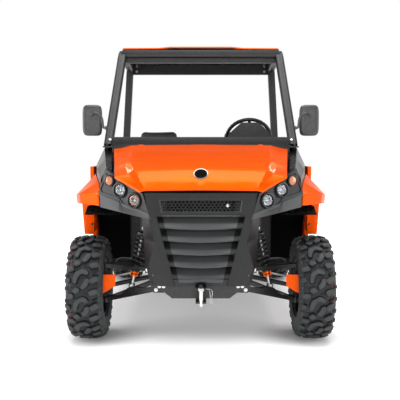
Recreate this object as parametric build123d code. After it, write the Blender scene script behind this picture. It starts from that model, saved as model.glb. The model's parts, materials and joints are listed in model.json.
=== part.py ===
from build123d import *
import math
import os

# Side by side utility vehicle. Millimetres, +Z up, the front faces -Y, +X is the vehicle's left,
# the driver's side.
# The origin is on the ground, under the middle of the vehicle.

# ---------------------------------------------------------------- driving dimensions
WHEELBASE = 2050
FRONT_AXLE_Y = -1040
REAR_AXLE_Y = FRONT_AXLE_Y + WHEELBASE
TYRE_RADIUS = 323
AXLE_Z = TYRE_RADIUS
FRONT_TYRE_WIDTH = 229
REAR_TYRE_WIDTH = 280
TYRES_OUTER_X = 810
FRONT_WHEEL_X = TYRES_OUTER_X - FRONT_TYRE_WIDTH / 2
REAR_WHEEL_X = TYRES_OUTER_X - REAR_TYRE_WIDTH / 2
RIM_RADIUS = 178
FRONT_END_Y = -1530
REAR_END_Y = REAR_AXLE_Y + 520
RUNNING_GAP = 0.08
UPPER_ARM_Z = AXLE_Z + 134
LOWER_ARM_Z = AXLE_Z - 84

KINGPIN_X = 600
KINGPIN_R = 9
REAR_PIN_X = 560
HUB_BORE_R = 18
PIVOT_R = 6
SHOCK_BOLT_R = 8

RAIL_X0, RAIL_X1 = 135, 185
RAIL_Z0, RAIL_Z1 = 357, 393
UPPER_RAIL_X = 280
UPPER_RAIL_Z1 = 680

CABIN_HALF = 640
FLOOR_Z = 395
SEAT_Z = 640.3
DOOR_OUT_X = 734
DOOR_THICK = 22
B_PILLAR_Y = REAR_AXLE_Y - 450
DOOR_Y0, DOOR_Y1 = -560, B_PILLAR_Y - 140

BED_HALF = 700
BED_Y0, BED_Y1 = B_PILLAR_Y + 44, REAR_AXLE_Y + 480
BED_FLOOR_Z = 790
BED_TOP_Z = 1090
BED_HINGE_Y, BED_HINGE_Z = REAR_AXLE_Y + 370, 720
BED_WALL = 24
BED_PIN_R = 10

TUBE_R = 30
PILLAR_FOOT = (621, -700, 1208)
ROOF_FRONT = (566, -290, 1876)
ROOF_REAR = (596, B_PILLAR_Y, 1876)
PILLAR_B_LOW = (640, B_PILLAR_Y, 1150)

WHEEL_CENTRE = (361, -130, 1272)
COLUMN_TILT = 35
STEERING_R = 180
COLUMN_R = 32


def on_column(distance):
    """The point on the steering column's axis at a distance below the wheel's middle."""
    x, y, z = WHEEL_CENTRE
    tilt = math.radians(COLUMN_TILT)
    return (x, y - distance * math.cos(tilt), z - distance * math.sin(tilt))


COLUMN_START, COLUMN_END = on_column(60), on_column(366)


# ---------------------------------------------------------------- helpers
def block(x0, x1, y0, y1, z0, z1):
    """A box between two corners."""
    middle = Pos((x0 + x1) / 2, (y0 + y1) / 2, (z0 + z1) / 2)
    return middle * Box(abs(x1 - x0), abs(y1 - y0), abs(z1 - z0))


def both(shape):
    """A shape and its twin across the centre plane."""
    return shape + mirror(shape, about=Plane.YZ)


def other_side(shape):
    """The twin alone."""
    return mirror(shape, about=Plane.YZ)


def largest(shape):
    """The biggest solid of a shape, without the slivers that a cut has left."""
    return shape.solids().sort_by(SortBy.VOLUME)[-1]


def rod(start, end, radius):
    """A round bar between two points."""
    run = Vector(*end) - Vector(*start)
    plane = Plane(origin=start, z_dir=run)
    return extrude(plane * Circle(radius), amount=run.length)


def bar(start, end, width, height):
    """A straight bar, its width level and its height square to its run."""
    run = Vector(*end) - Vector(*start)
    level = Vector(0, 0, 1).cross(run)
    if level.length < 0.001 * run.length:
        level = Vector(1, 0, 0)
    plane = Plane(origin=start, x_dir=level, z_dir=run)
    return extrude(plane * Rectangle(width, height), amount=run.length)


def along_x(outline, x0, x1):
    """An outline of (y, z) points, drawn out along X."""
    face = make_face(Polyline(*[(x0, y, z) for y, z in outline], close=True))
    return extrude(face, amount=x1 - x0, dir=(1, 0, 0))


def along_y(outline, y0, y1):
    """An outline of (x, z) points, drawn out along Y."""
    face = make_face(Polyline(*[(x, y0, z) for x, z in outline], close=True))
    return extrude(face, amount=y1 - y0, dir=(0, 1, 0))


def along_z(outline, z0, z1):
    """An outline of (x, y) points, drawn out along Z."""
    face = make_face(Polyline(*[(x, y, z0) for x, y in outline], close=True))
    return extrude(face, amount=z1 - z0, dir=(0, 0, 1))


def ruled(sections):
    """Straight-sided skin through flat sections with equally many corners."""
    faces = [make_face(Polyline(*points, close=True)) for points in sections]
    return loft(faces, ruled=True)


def spun(profile, centre):
    """A profile of (x, radius) points, turned about an axle along X."""
    face = make_face(Polyline(*profile, close=True))
    return Pos(*centre) * revolve(face, axis=Axis.X)


def tapered_bar(start, end, width, start_depth, end_depth, hump=()):
    """An upright-sided bar from start to end; hump holds (share of the run, height over the line)."""
    run = Vector(*end) - Vector(*start)
    level = Vector(run.X, run.Y, 0).normalized()
    plane = Plane(origin=start, x_dir=level, z_dir=level.cross(Vector(0, 0, 1)))
    length, rise = math.hypot(run.X, run.Y), run.Z
    top = [(share * length, share * rise + height) for share, height in hump]
    outline = [(0, start_depth / 2), *top, (length, rise + end_depth / 2), (length, rise - end_depth / 2),
               (0, -start_depth / 2)]
    return extrude(plane * make_face(Polyline(*outline, close=True)), amount=width / 2, both=True)


def profile_section():
    """Section of the cage's tubes: a rounded square with a groove along each side."""
    section = RectangleRounded(2 * TUBE_R, 2 * TUBE_R, 16)
    for turn in range(4):
        section -= Rot(Z=90 * turn) * Pos(TUBE_R, 0) * Rectangle(8, 9)
    return section


def profile_tube(points, bend):
    """The cage's section along straight runs joined by arcs, one side square to the plane of the runs."""
    path = FilletPolyline(*points, radius=bend)
    first, second, third = (Vector(*point) for point in points[:3])
    square = (second - first).cross(third - second).normalized()
    return sweep(Plane(origin=path @ 0, x_dir=square, z_dir=path % 0) * profile_section(), path=path)


def bent_tube(points, radius, bend):
    """A round tube along straight runs joined by arcs."""
    path = FilletPolyline(*points, radius=bend)
    return sweep(Plane(origin=path @ 0, z_dir=path % 0) * Circle(radius), path=path)


# ---------------------------------------------------------------- wheels
TREAD_FACETS = 24
TREAD_PITCHES = 12
LUG_HEIGHT = 19
# blocks of one pitch: turn as a share of the pitch, middle across as a share of the half width,
# length along X, length round the tyre, twist, lean and how far its top lies inside the radius
LUGS = [
    (0.00, -0.14, 58, 34, 24, 0, 0),
    (0.50, 0.14, 58, 34, 24, 0, 0),
    (0.25, 0.74, 44, 36, -10, 14, 6),
    (0.75, -0.74, 44, 36, -10, -14, 6),
]


def tyre(width, centre):
    """A faceted ring on its rim, with blocks fused round its crown and over its shoulders."""
    half = width / 2
    crown = TYRE_RADIUS - LUG_HEIGHT
    side = [(half - 24, RIM_RADIUS + 8), (half, 245), (half - 34, crown)]
    stations = [(-x, r) for x, r in side] + [(x, r) for x, r in reversed(side)]
    turns = [2 * math.pi * step / TREAD_FACETS for step in range(TREAD_FACETS)]

    def ring(x, radius):
        return [(x, radius * math.cos(turn), radius * math.sin(turn)) for turn in turns]

    shape = ruled([ring(x, radius) for x, radius in stations])
    blocks = []
    for pitch in range(TREAD_PITCHES):
        for share, across, long_x, long_turn, twist, lean, inside in LUGS:
            depth = LUG_HEIGHT + 10
            place = Pos(across * half, 0, TYRE_RADIUS - inside) * Rot(Y=lean) * Rot(Z=twist)
            lug = place * Pos(0, 0, -depth / 2) * Box(long_x, long_turn, depth)
            blocks.append(Rot(X=360 * (pitch + share) / TREAD_PITCHES) * lug)
    shape += blocks
    # the flats of the bore lie just off the rim
    bore = (RIM_RADIUS + 0.3) / math.cos(math.pi / TREAD_FACETS)
    shape -= ruled([ring(-half - 1, bore), ring(half + 1, bore)])
    return Pos(*centre) * shape


def rim(width, centre, hub_x, stub_x, disc_x):
    """Barrel, spoked face, hub, brake disc and the stub that turns in the knuckle."""
    half = width / 2 - 25
    face_x = half - 42
    barrel = [(-half, 165), (-half, RIM_RADIUS), (half, RIM_RADIUS), (half, 165)]
    wheel = spun(barrel, (0, 0, 0))
    wheel += spun([(face_x, 0), (face_x, 168), (face_x + 14, 168), (face_x + 14, 0)], (0, 0, 0))
    for number in range(6):
        window = along_x([(-18, 66), (18, 66), (50, 146), (-50, 146)], face_x - 1, face_x + 15)
        wheel -= Rot(X=60 * number) * window
    wheel += spun([(hub_x, 0), (hub_x, 45), (face_x + 26, 45), (face_x + 26, 0)], (0, 0, 0))
    wheel += spun([(disc_x, 0), (disc_x, 105), (disc_x + 6, 105), (disc_x + 6, 0)], (0, 0, 0))
    wheel += spun([(stub_x, 0), (stub_x, HUB_BORE_R), (hub_x + 1, HUB_BORE_R), (hub_x + 1, 0)], (0, 0, 0))
    return Pos(*centre) * wheel


# ---------------------------------------------------------------- suspension
def knuckle(pin_x, axle_y, steered):
    """Housing round the joint of the half-shaft, with pins above and below and a bored end wall."""
    wall_x = pin_x + 40
    housing = rod((pin_x - 25, axle_y, AXLE_Z), (wall_x + 15, axle_y, AXLE_Z), 56)
    housing -= rod((pin_x - 26, axle_y, AXLE_Z), (wall_x, axle_y, AXLE_Z), 42)
    housing -= rod((wall_x - 1, axle_y, AXLE_Z), (wall_x + 16, axle_y, AXLE_Z), HUB_BORE_R + RUNNING_GAP)
    post = rod((pin_x, axle_y, AXLE_Z + 48), (pin_x, axle_y, AXLE_Z + 117), 20)
    upper_pin = rod((pin_x, axle_y, AXLE_Z + 110), (pin_x, axle_y, AXLE_Z + 152), KINGPIN_R)
    lower_pin = rod((pin_x, axle_y, AXLE_Z - 48), (pin_x, axle_y, AXLE_Z - 104), KINGPIN_R)
    shape = housing + post + upper_pin + lower_pin
    # caliper over the brake disc, on a plate in front of the axle
    caliper = block(pin_x + 46, pin_x + 88, axle_y - 128, axle_y - 74, AXLE_Z - 36, AXLE_Z + 36)
    caliper -= block(pin_x + 59, pin_x + 75, axle_y - 111, axle_y - 60, AXLE_Z - 40, AXLE_Z + 40)
    shape += caliper
    shape += block(pin_x + 46, wall_x + 15, axle_y - 100, axle_y - 40, AXLE_Z - 24, AXLE_Z + 24)
    if steered:
        arm = block(pin_x - 14, pin_x + 14, axle_y + 40, axle_y + 115, AXLE_Z + 4, AXLE_Z + 20)
        shape += arm + rod((pin_x, axle_y + 115, AXLE_Z + 4), (pin_x, axle_y + 115, AXLE_Z + 20), 14)
    return shape


def a_arm(outer, inner_x, inner_z, inner_ys, thick=24, humps=((), ())):
    """Two bars from an eye on the pin to two barrels that lie along the vehicle."""
    x, y, z = outer
    shape = rod((x, y, z - 12), (x, y, z + 12), 22)
    for inner_y, hump in zip(inner_ys, humps):
        shape += tapered_bar(outer, (inner_x, inner_y, inner_z), 26, 24, thick, hump)
        shape += rod((inner_x, inner_y - 25, inner_z), (inner_x, inner_y + 25, inner_z), 15)
        shape -= rod((inner_x, inner_y - 26, inner_z), (inner_x, inner_y + 26, inner_z), PIVOT_R)
    return shape - rod((x, y, z - 30), (x, y, z + 30), KINGPIN_R + RUNNING_GAP)


def shock_seat(arm_x, shock_y, bars_y, z):
    """Cross tube between an arm's bars with two ears for the eye of the shock absorber."""
    seat = bar((arm_x, bars_y[0], z), (arm_x, bars_y[1], z), 26, 22)
    for ear_y in (shock_y - 23, shock_y + 17):
        seat += block(arm_x - 18, arm_x + 18, ear_y, ear_y + 6, z, z + 58)
    bolt_z = z + SHOCK_EYE_RISE
    return seat + rod((arm_x, shock_y - 24, bolt_z), (arm_x, shock_y + 24, bolt_z), SHOCK_BOLT_R)


def shock(top, bottom):
    """Spring and reservoir above, damper rod and two ring nuts below, an eye at each end."""
    top_v, bottom_v = Vector(*top), Vector(*bottom)
    run = bottom_v - top_v

    def at(part):
        point = top_v + run * part
        return (point.X, point.Y, point.Z)

    shape = rod(at(0.09), at(0.60), 34) + rod(at(0.59), at(0.92), 20)
    for ring in (0.74, 0.81):
        shape += rod(at(ring), at(ring + 0.045), 27)
    for eye in (top, bottom):
        x, y, z = eye
        shape += rod((x, y - 14, z), (x, y + 14, z), 17)
    shape += rod(at(0.0), at(0.10), 16) + rod(at(0.91), at(0.98), 12)
    for x, y, z in (top, bottom):
        shape -= rod((x, y - 26, z), (x, y + 26, z), SHOCK_BOLT_R)
    return shape


def knuckle_guard():
    """Folded plate in front of the knuckle, cut back towards its lower inner corner, and its bracket."""
    x, y = KINGPIN_X, FRONT_AXLE_Y
    plate = along_z([(x - 74, y - 100), (x + 12, y - 112), (x + 12, y - 108), (x - 72, y - 96)],
                    AXLE_Z - 24, AXLE_Z + 93)
    keep = along_y([(x - 76, AXLE_Z + 92), (x + 13, AXLE_Z + 94), (x + 13, AXLE_Z - 26),
                    (x - 20, AXLE_Z - 12), (x - 84, AXLE_Z + 30)], y - 140, y - 60)
    return (plate & keep) + block(x - 6, x + 10, y - 110, y - 44, AXLE_Z + 7, AXLE_Z + 22)


# ---------------------------------------------------------------- front body
# armour plates of the bumper, one row per level, from the top down
BUMPER_LEVELS = [
    # z, outer edge x, crease x, inner edge x, front y, side wall x, side wall y
    (935, 320, 316, 283, -1452, 342, -1380),
    (768, 288, 284, 240, -1490, 350, -1270),
    (660, 257, 254, 212, -1490, 340, -1270),
    (521, 297, 222, 176, -1486, 330, -1300),
    (408, 266, 190, 148, -1480, 300, -1330),
]
LOUVRE_TOP_Z, LOUVRE_SILL_Z = 808, 446
LOUVRES = 5
MESH_Z0, MESH_Z1 = 828, 898
MESH_HALF = 236
FRAME_MARGIN = 12


def screen_outline(margin):
    """The screen's opening as a prism through the upper panel, widened by a margin."""
    top, low = MESH_HALF + margin, MESH_HALF - 10 + margin
    z0, z1 = MESH_Z0 - margin, MESH_Z1 + margin
    return along_y([(-top, z1), (top, z1), (low, z0), (-low, z0)], -1500, -1420)


def plate_inner_x(z):
    """Inner edge of the armour plates at a height."""
    return 148 + (z - 408) * (283 - 148) / (935 - 408)


def front_bumper():
    sections = []
    for z, outer, crease, inner, front, side_x, side_y in BUMPER_LEVELS:
        turn = (outer - crease) * 0.3
        sections.append([
            (inner, front, z), (crease, front, z), (outer, front + turn, z), (side_x, side_y, z),
            (side_x - 10, side_y, z), (outer - 14, front + turn + 14, z), (inner, front + 16, z),
        ])
    shape = both(ruled(sections))
    # upper panel round the mesh
    upper = along_x([(-1452, 935), (-1482, 806), (-1466, 806), (-1436, 935)], -286, 286)
    upper -= screen_outline(0)
    keep = along_y([(-286, 935), (286, 935), (253, 806), (-253, 806)], -1500, -1420)
    shape += upper & keep
    # raised frame round the screen
    proud = along_x([(-1456, 935), (-1486, 806), (-1470, 806), (-1440, 935)], -286, 286)
    ring = screen_outline(FRAME_MARGIN) - screen_outline(0)
    shape += proud & ring
    # louvres: a front lip that dips to the middle, and a face that leans back up from it
    pitch = (LOUVRE_TOP_Z - LOUVRE_SILL_Z) / LOUVRES
    for number in range(LOUVRES):
        z = LOUVRE_TOP_Z - pitch * (number + 0.78)
        half = plate_inner_x(z) + 4
        rows = []
        for share, drop in ((-1, 0), (-0.55, 9), (0, 13), (0.55, 9), (1, 0)):
            lip = z - drop
            x = share * half
            rows.append([(x, -1486, lip), (x, -1446, z + 46), (x, -1438, z + 46), (x, -1474, lip - 9),
                         (x, -1486, lip - 9)])
        shape += ruled(rows)
    # sill and closing panel below the louvres
    shape += block(-156, 156, -1498, -1440, LOUVRE_SILL_Z - 6, LOUVRE_SILL_Z + 4)
    shape += along_x([(-1490, 442), (-1470, 408), (-1440, 408), (-1440, 442)], -150, 150)
    return shape


# honeycomb of the screen: columns and rows, their pitches, half width and half height of a cell
CELL_COLUMNS, CELL_ROWS = 17, 4
CELL_PITCH_X, CELL_PITCH_Z = 22, 15.5
CELL_HALF_X, CELL_HALF_Z = 9, 8.4
# squares at both ends
SQUARE_COLUMNS, SQUARE_PITCH, SQUARE = 3, 12, 8


def grille_mesh():
    """Screen of six-sided cells between two fields of squares, leaning back with the upper panel."""
    tilt = math.degrees(math.atan2(1472 - 1454, 904 - 822))
    upright = Plane(origin=(0, -1463, (MESH_Z0 + MESH_Z1) / 2), x_dir=(1, 0, 0), z_dir=(0, -1, 0))
    plane = upright.rotated((tilt, 0, 0))
    sheet = Rectangle(2 * MESH_HALF + 12, MESH_Z1 - MESH_Z0 + 16)
    h, v = CELL_HALF_X, CELL_HALF_Z
    corners = [(0, v), (h, v / 2), (h, -v / 2), (0, -v), (-h, -v / 2), (-h, v / 2)]
    cell = make_face(Polyline(*corners, close=True))
    holes = []
    for row in range(CELL_ROWS):
        z = (row - (CELL_ROWS - 1) / 2) * CELL_PITCH_Z
        odd = row % 2
        for column in range(CELL_COLUMNS - odd):
            x = (column - (CELL_COLUMNS - 1 - odd) / 2) * CELL_PITCH_X
            holes.append(Pos(x, z) * cell)
        for column in range(SQUARE_COLUMNS):
            for side in (-1, 1):
                x = side * (MESH_HALF - 14 - column * SQUARE_PITCH)
                holes.append(Pos(x, z) * Rectangle(SQUARE, SQUARE + 3))
    return extrude(plane * (sheet - holes), amount=-5) & screen_outline(0)


LAMP_CORNERS = [
    # x, z, each on the lamp plane
    (568, 1070), (500, 1021), (330, 932), (284, 790), (588, 841), (613, 929),
]
LAMP_NORMAL = Vector(0.62, -0.78, 0.06).normalized()
LAMP_ORIGIN = Vector(345, -1432, 935)
LAMPS = [
    # x, z, bezel radius, lens radius
    (468, 948, 47, 32),
    (379, 892, 47, 32),
    (538, 1000, 27, 23),
]


def on_lamp_plane(x, z, proud=0):
    """The point of the lamp plane at x and z, moved outwards by proud."""
    n, o = LAMP_NORMAL, LAMP_ORIGIN
    y = o.Y - (n.X * (x - o.X) + n.Z * (z - o.Z)) / n.Y
    point = Vector(x, y, z) + n * proud
    return (point.X, point.Y, point.Z)


def lamp_slab(proud, depth):
    """The lamp panel's outline, from proud of its plane to a depth behind it."""
    corners = [on_lamp_plane(x, z, proud) for x, z in LAMP_CORNERS]
    face = make_face(Polyline(*corners, close=True))
    return extrude(face, amount=proud + depth, dir=LAMP_NORMAL * -1)


# inner face of the lamp panel, sunk between a rim and the lower band
POCKET = [(557, 1044), (497, 1005), (341, 921), (314, 834), (452, 867), (478, 901), (590, 929), (600, 944)]
POCKET_DEPTH = 5
# lower band, one row per station: crease x and z, bottom x and z, how far the bottom stands proud
BAND_STATIONS = [
    (304, 819, 284, 790, 5),
    (455, 853, 436, 815, 15),
    (476, 889, 468, 821, 18),
    (602, 922, 588, 841, 16),
]


def headlamp_panels(bumper):
    panel = lamp_slab(0, 22)
    corners = [on_lamp_plane(x, z, 30) for x, z in POCKET]
    pocket = make_face(Polyline(*corners, close=True))
    panel -= extrude(pocket, amount=30 + POCKET_DEPTH, dir=LAMP_NORMAL * -1)
    sections = []
    for crease_x, crease_z, low_x, low_z, proud in BAND_STATIONS:
        sections.append([on_lamp_plane(crease_x, crease_z, 0), on_lamp_plane(low_x, low_z, proud),
                         on_lamp_plane(low_x, low_z, -15), on_lamp_plane(crease_x, crease_z, -15)])
    panel += ruled(sections)
    for x, z, bezel, lens in LAMPS:
        panel -= rod(on_lamp_plane(x, z, 30), on_lamp_plane(x, z, -40), bezel - 4)
    return both(largest(panel - bumper))


def headlamps(bumper):
    """Two round lamps a side: a bezel, a bowl and a lens."""
    lamp = None
    for x, z, bezel, lens in LAMPS[:2]:
        ring = rod(on_lamp_plane(x, z, 1), on_lamp_plane(x, z, 15), bezel)
        ring += rod(on_lamp_plane(x, z, -45), on_lamp_plane(x, z, 2), bezel - 5)
        ring -= rod(on_lamp_plane(x, z, 5), on_lamp_plane(x, z, 16), lens)
        lamp = ring if lamp is None else lamp + ring
    return both(lamp) - bumper


def headlamp_lenses():
    lens = None
    for x, z, bezel, radius in LAMPS[:2]:
        disc = rod(on_lamp_plane(x, z, 5.2), on_lamp_plane(x, z, 13), radius - 0.3)
        lens = disc if lens is None else lens + disc
    return both(lens)


def indicators():
    x, z, bezel, lens = LAMPS[2]
    lamp = rod(on_lamp_plane(x, z, 0.5), on_lamp_plane(x, z, 10), bezel)
    lamp += rod(on_lamp_plane(x, z, -30), on_lamp_plane(x, z, 2), bezel - 5)
    return both(lamp)


# sections of the bonnet, one row per station, from the windscreen forwards
BONNET_STATIONS = [
    # y, centre z, top half width, top z, ridge half width, ridge z, edge half width, edge z
    (-766, 1217, 462, 1212, 522, 1195, 575, 1187),
    (-1190, 1130, 422, 1122, 466, 1098, 518, 1071),
    (-1340, 1074, 384, 1066, 421, 1042, 500, 1030),
    (-1420, 1013, 344, 1006, 364, 989, 389, 974),
    (-1450, 965, 318, 962, 333, 958, 348, 952),
]
BONNET_WALL = 14
BONNET_HINGE_Y, BONNET_HINGE_Z = -761, 1211
BONNET_HINGE_X = 395
BONNET_PIN_R = 3


def bonnet_axis(x0, x1, radius):
    """A round bar on the axis of the bonnet's hinges."""
    return rod((x0, BONNET_HINGE_Y, BONNET_HINGE_Z), (x1, BONNET_HINGE_Y, BONNET_HINGE_Z), radius)


def bonnet_barrel():
    x, y, z = BONNET_HINGE_X, BONNET_HINGE_Y, BONNET_HINGE_Z
    shape = bonnet_axis(x - 15, x + 15, 5) + block(x - 15, x + 15, y - 8, y - 1, z - 4, z + 3)
    return shape - bonnet_axis(x - 16, x + 16, BONNET_PIN_R + RUNNING_GAP)


def bonnet_ears():
    """Two round ears beside each barrel, on the cowl, and the pin through them."""
    x, y, z = BONNET_HINGE_X, BONNET_HINGE_Y, BONNET_HINGE_Z
    shape = bonnet_axis(x - 26, x + 26, BONNET_PIN_R)
    for x0 in (x - 26, x + 16):
        shape += bonnet_axis(x0, x0 + 10, 4.8) + block(x0, x0 + 10, y, y + 7, z - 4.8, z + 4.8)
    return both(shape)


def bonnet():
    sections = []
    for y, centre_z, top, top_z, ridge, ridge_z, edge, edge_z in BONNET_STATIONS:
        upper = [(-edge, edge_z), (-ridge, ridge_z), (-top, top_z), (0, centre_z),
                 (top, top_z), (ridge, ridge_z), (edge, edge_z)]
        lower = [(x, z - BONNET_WALL) for x, z in reversed(upper)]
        sections.append([(x, y, z) for x, z in upper + lower])
    return ruled(sections) + both(bonnet_barrel())


# black trims between the bonnet and the wings
TRIM_STATIONS = [
    # y, inner x, inner top z, crest x, crest z, outer x, shoulder z
    (-1236, 530, 1064, 562, 1068, 596, 1010),
    (-1000, 560, 1122, 600, 1126, 655, 1060),
    (-640, 592, 1188, 655, 1196, 708, 1085),
]
TRIM_LOW_Z = 940
TRIM_WALL = 7


def cowl_sides():
    outer, inner = [], []
    last = len(TRIM_STATIONS) - 1
    for number, (y, in_x, in_z, crest_x, crest_z, out_x, shoulder_z) in enumerate(TRIM_STATIONS):
        w = TRIM_WALL
        outer.append([(in_x, y, TRIM_LOW_Z), (in_x, y, in_z), (crest_x, y, crest_z),
                      (out_x, y, shoulder_z), (out_x, y, TRIM_LOW_Z)])
        y_in = y - 1 if number == 0 else y + 1 if number == last else y
        inner.append([(in_x + w, y_in, TRIM_LOW_Z - 1), (in_x + w, y_in, in_z - w),
                      (crest_x - 3, y_in, crest_z - w), (out_x - w, y_in, shoulder_z - 3),
                      (out_x - w, y_in, TRIM_LOW_Z - 1)])
    shape = ruled(outer) - ruled(inner)
    shape -= lamp_slab(60, 23)
    return both(shape)


# orange wings over the front wheels
WING_STATIONS = [
    # y, inner x, inner z, outer x, outer z, lip z
    (-1206, 606, 925, 624, 918, 846),
    (-1100, 632, 985, 745, 915, 850),
    (-940, 672, 1025, 797, 896, 840),
    (-760, 697, 1030, 803, 880, 828),
]
WING_WALL = 9


def front_fenders():
    sections = []
    for y, in_x, in_z, out_x, out_z, lip_z in WING_STATIONS:
        w = WING_WALL
        sections.append([(in_x, y, in_z), (out_x, y, out_z), (out_x - 6, y, lip_z), (out_x - 6 - w, y, lip_z),
                         (out_x - w - 2, y, out_z - w), (in_x, y, in_z - w - 4)])
    shape = ruled(sections)
    # panel behind the wheel, leaning back as it goes down
    shape += along_x([(-771, 880), (-762, 880), (-762, 829), (-680, 611), (-690, 611), (-771, 829)], 700, 789)
    shape += along_x([(-762, 1072), (-572, 1072), (-572, 440), (-612, 440), (-640, 560), (-700, 640),
                      (-762, 640)], 712, DOOR_OUT_X)
    return both(shape + door_hinge_ears())


def arch_liners():
    outline = [(-1190, 796), (-1100, 834), (-780, 834), (-640, 700), (-630, 439),
               (-638, 439), (-648, 697), (-784, 826), (-1098, 826), (-1187, 788)]
    return both(along_x(outline, 484, 700) + block(484, 700, -638, -598, 439, 447))


# ---------------------------------------------------------------- chassis
def chassis_frame():
    frame_y0, frame_y1 = B_PILLAR_Y + 80, REAR_AXLE_Y + 350
    half = block(RAIL_X0, RAIL_X1, -1250, REAR_AXLE_Y + 410, RAIL_Z0, RAIL_Z1)
    # outriggers under the cabin, and the frame under the bed
    for y in (-570, B_PILLAR_Y - 550, B_PILLAR_Y - 20):
        half += block(0, 660, y, y + 40, RAIL_Z0 + 3, RAIL_Z1 - 1)
    for y in (-1250, -860, frame_y0, frame_y1):
        half += block(0, 300, y, y + 40, RAIL_Z0, RAIL_Z1)
    for y in (frame_y0, frame_y1):
        half += block(UPPER_RAIL_X - 20, UPPER_RAIL_X + 20, y, y + 40, RAIL_Z0, UPPER_RAIL_Z1)
        half += block(0, UPPER_RAIL_X, y, y + 40, UPPER_RAIL_Z1 - 40, UPPER_RAIL_Z1)
    half += block(UPPER_RAIL_X - 20, UPPER_RAIL_X + 20, frame_y0, frame_y1 + 40,
                  UPPER_RAIL_Z1 - 40, UPPER_RAIL_Z1)
    # front uprights, their top rails and the beam over the shock absorbers
    for y in (-1260, -880):
        half += block(180, 220, y, y + 40, RAIL_Z0, 760)
    half += block(180, 220, -1260, -604, 720, 760)
    half += block(0, 200, -1260, -1220, 720, 760)
    half += block(0, 372, -1112, -1072, 722, 760)
    half += block(334, 370, -1116, -1109, 680, 724)
    half += block(334, 370, -1075, -1068, 680, 724)
    half += block(0, 200, -1300, -1250, 640, 670)
    half += block(180, 220, -1430, -1250, 560, 600)
    half += block(0, 296, -1430, -1400, 560, 600)
    # rear beam over the shock absorbers
    shock_y = REAR_SHOCK[0][1]
    half += block(UPPER_RAIL_X, 372, shock_y - 20, shock_y + 20, 702, 740)
    half += block(UPPER_RAIL_X - 20, UPPER_RAIL_X + 20, shock_y - 20, shock_y + 20, 670, 740)
    for y in (shock_y - 24, shock_y + 17):
        half += block(334, 370, y, y + 7, 664, 710)
    for y in (REAR_AXLE_Y - 180, REAR_AXLE_Y + 170):
        half += block(180, 220, y, y + 40, RAIL_Z0, UPPER_RAIL_Z1)
        half += block(180, UPPER_RAIL_X, y, y + 40, UPPER_RAIL_Z1 - 30, UPPER_RAIL_Z1)
    # brackets for the arms
    for axle_y, upper_x, upper_z, lower_x, lower_z, upper_ys, lower_ys in ARM_PIVOTS:
        for y in upper_ys:
            for end in (-37, 31):
                half += block(200, upper_x + 16, y + end, y + end + 6, upper_z - 18, upper_z + 18)
            half += block(200, upper_x - 22, y - 31, y + 31, upper_z - 12, upper_z + 12)
        for y in lower_ys:
            for end in (-37, 31):
                half += block(RAIL_X1, lower_x + 16, y + end, y + end + 6, lower_z - 17, RAIL_Z0 + 12)
    # bolts through the arms' barrels and the upper eyes of the shock absorbers
    for _, upper_x, upper_z, lower_x, lower_z, upper_ys, lower_ys in ARM_PIVOTS:
        for x, z, ys in ((upper_x, upper_z, upper_ys), (lower_x, lower_z, lower_ys)):
            for y in ys:
                half += rod((x, y - 37, z), (x, y + 37, z), PIVOT_R)
    for (x, y, z), _ in (FRONT_SHOCK, REAR_SHOCK):
        half += rod((x, y - 24, z), (x, y + 24, z), SHOCK_BOLT_R)
    # ears of the bed's hinge
    for x0 in (UPPER_RAIL_X - 30, UPPER_RAIL_X + 18):
        half += block(x0, x0 + 12, BED_HINGE_Y - 18, BED_HINGE_Y + 18, 660, 738)
    half -= rod((200, BED_HINGE_Y, BED_HINGE_Z), (400, BED_HINGE_Y, BED_HINGE_Z), BED_PIN_R + RUNNING_GAP)
    return both(half)


LOWER_PIVOT_X, LOWER_PIVOT_Z = 269, 341
ARM_PIVOTS = [
    # axle y, upper pivot x and z, lower pivot x and z, upper pivot ys, lower pivot ys
    (FRONT_AXLE_Y, 318, 465, LOWER_PIVOT_X, LOWER_PIVOT_Z, (-1230, -890), (-1210, -910)),
    (REAR_AXLE_Y, 300, 470, LOWER_PIVOT_X, LOWER_PIVOT_Z, (REAR_AXLE_Y - 160, REAR_AXLE_Y + 190),
     (REAR_AXLE_Y - 150, REAR_AXLE_Y + 150)),
]
SHOCK_EYE_RISE = 46
SHOCK_TOP_X, SHOCK_LOW_X = 352, 430


def shock_line(y, top_z, pin_x):
    """Upper and lower eye of a shock absorber, the lower one over the arm that ends at pin_x."""
    share = (SHOCK_LOW_X - LOWER_PIVOT_X) / (pin_x - LOWER_PIVOT_X)
    arm_z = LOWER_PIVOT_Z + share * (LOWER_ARM_Z - LOWER_PIVOT_Z)
    return (SHOCK_TOP_X, y, top_z), (SHOCK_LOW_X, y, arm_z + SHOCK_EYE_RISE)


FRONT_SHOCK = shock_line(FRONT_AXLE_Y - 52, 700, KINGPIN_X)
REAR_SHOCK = shock_line(REAR_AXLE_Y + 52, 680, REAR_PIN_X)


# raised gusset beside the shock absorber: share of the run from the eye, height over the bar's axis
SHOCK_GUSSET = ((0.34, 15), (0.46, 44), (0.58, 44), (0.72, 24))


def front_arms():
    _, upper_x, upper_z, lower_x, lower_z, upper_ys, lower_ys = ARM_PIVOTS[0]
    upper = a_arm((KINGPIN_X, FRONT_AXLE_Y, UPPER_ARM_Z), upper_x, upper_z, upper_ys)
    lower = a_arm((KINGPIN_X, FRONT_AXLE_Y, LOWER_ARM_Z), lower_x, lower_z, lower_ys, 30, (SHOCK_GUSSET, ()))
    (_, _, _), (x, y, z) = FRONT_SHOCK
    lower += shock_seat(x, y, (-1127, -973), z - SHOCK_EYE_RISE)
    return both(upper + lower)


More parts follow.
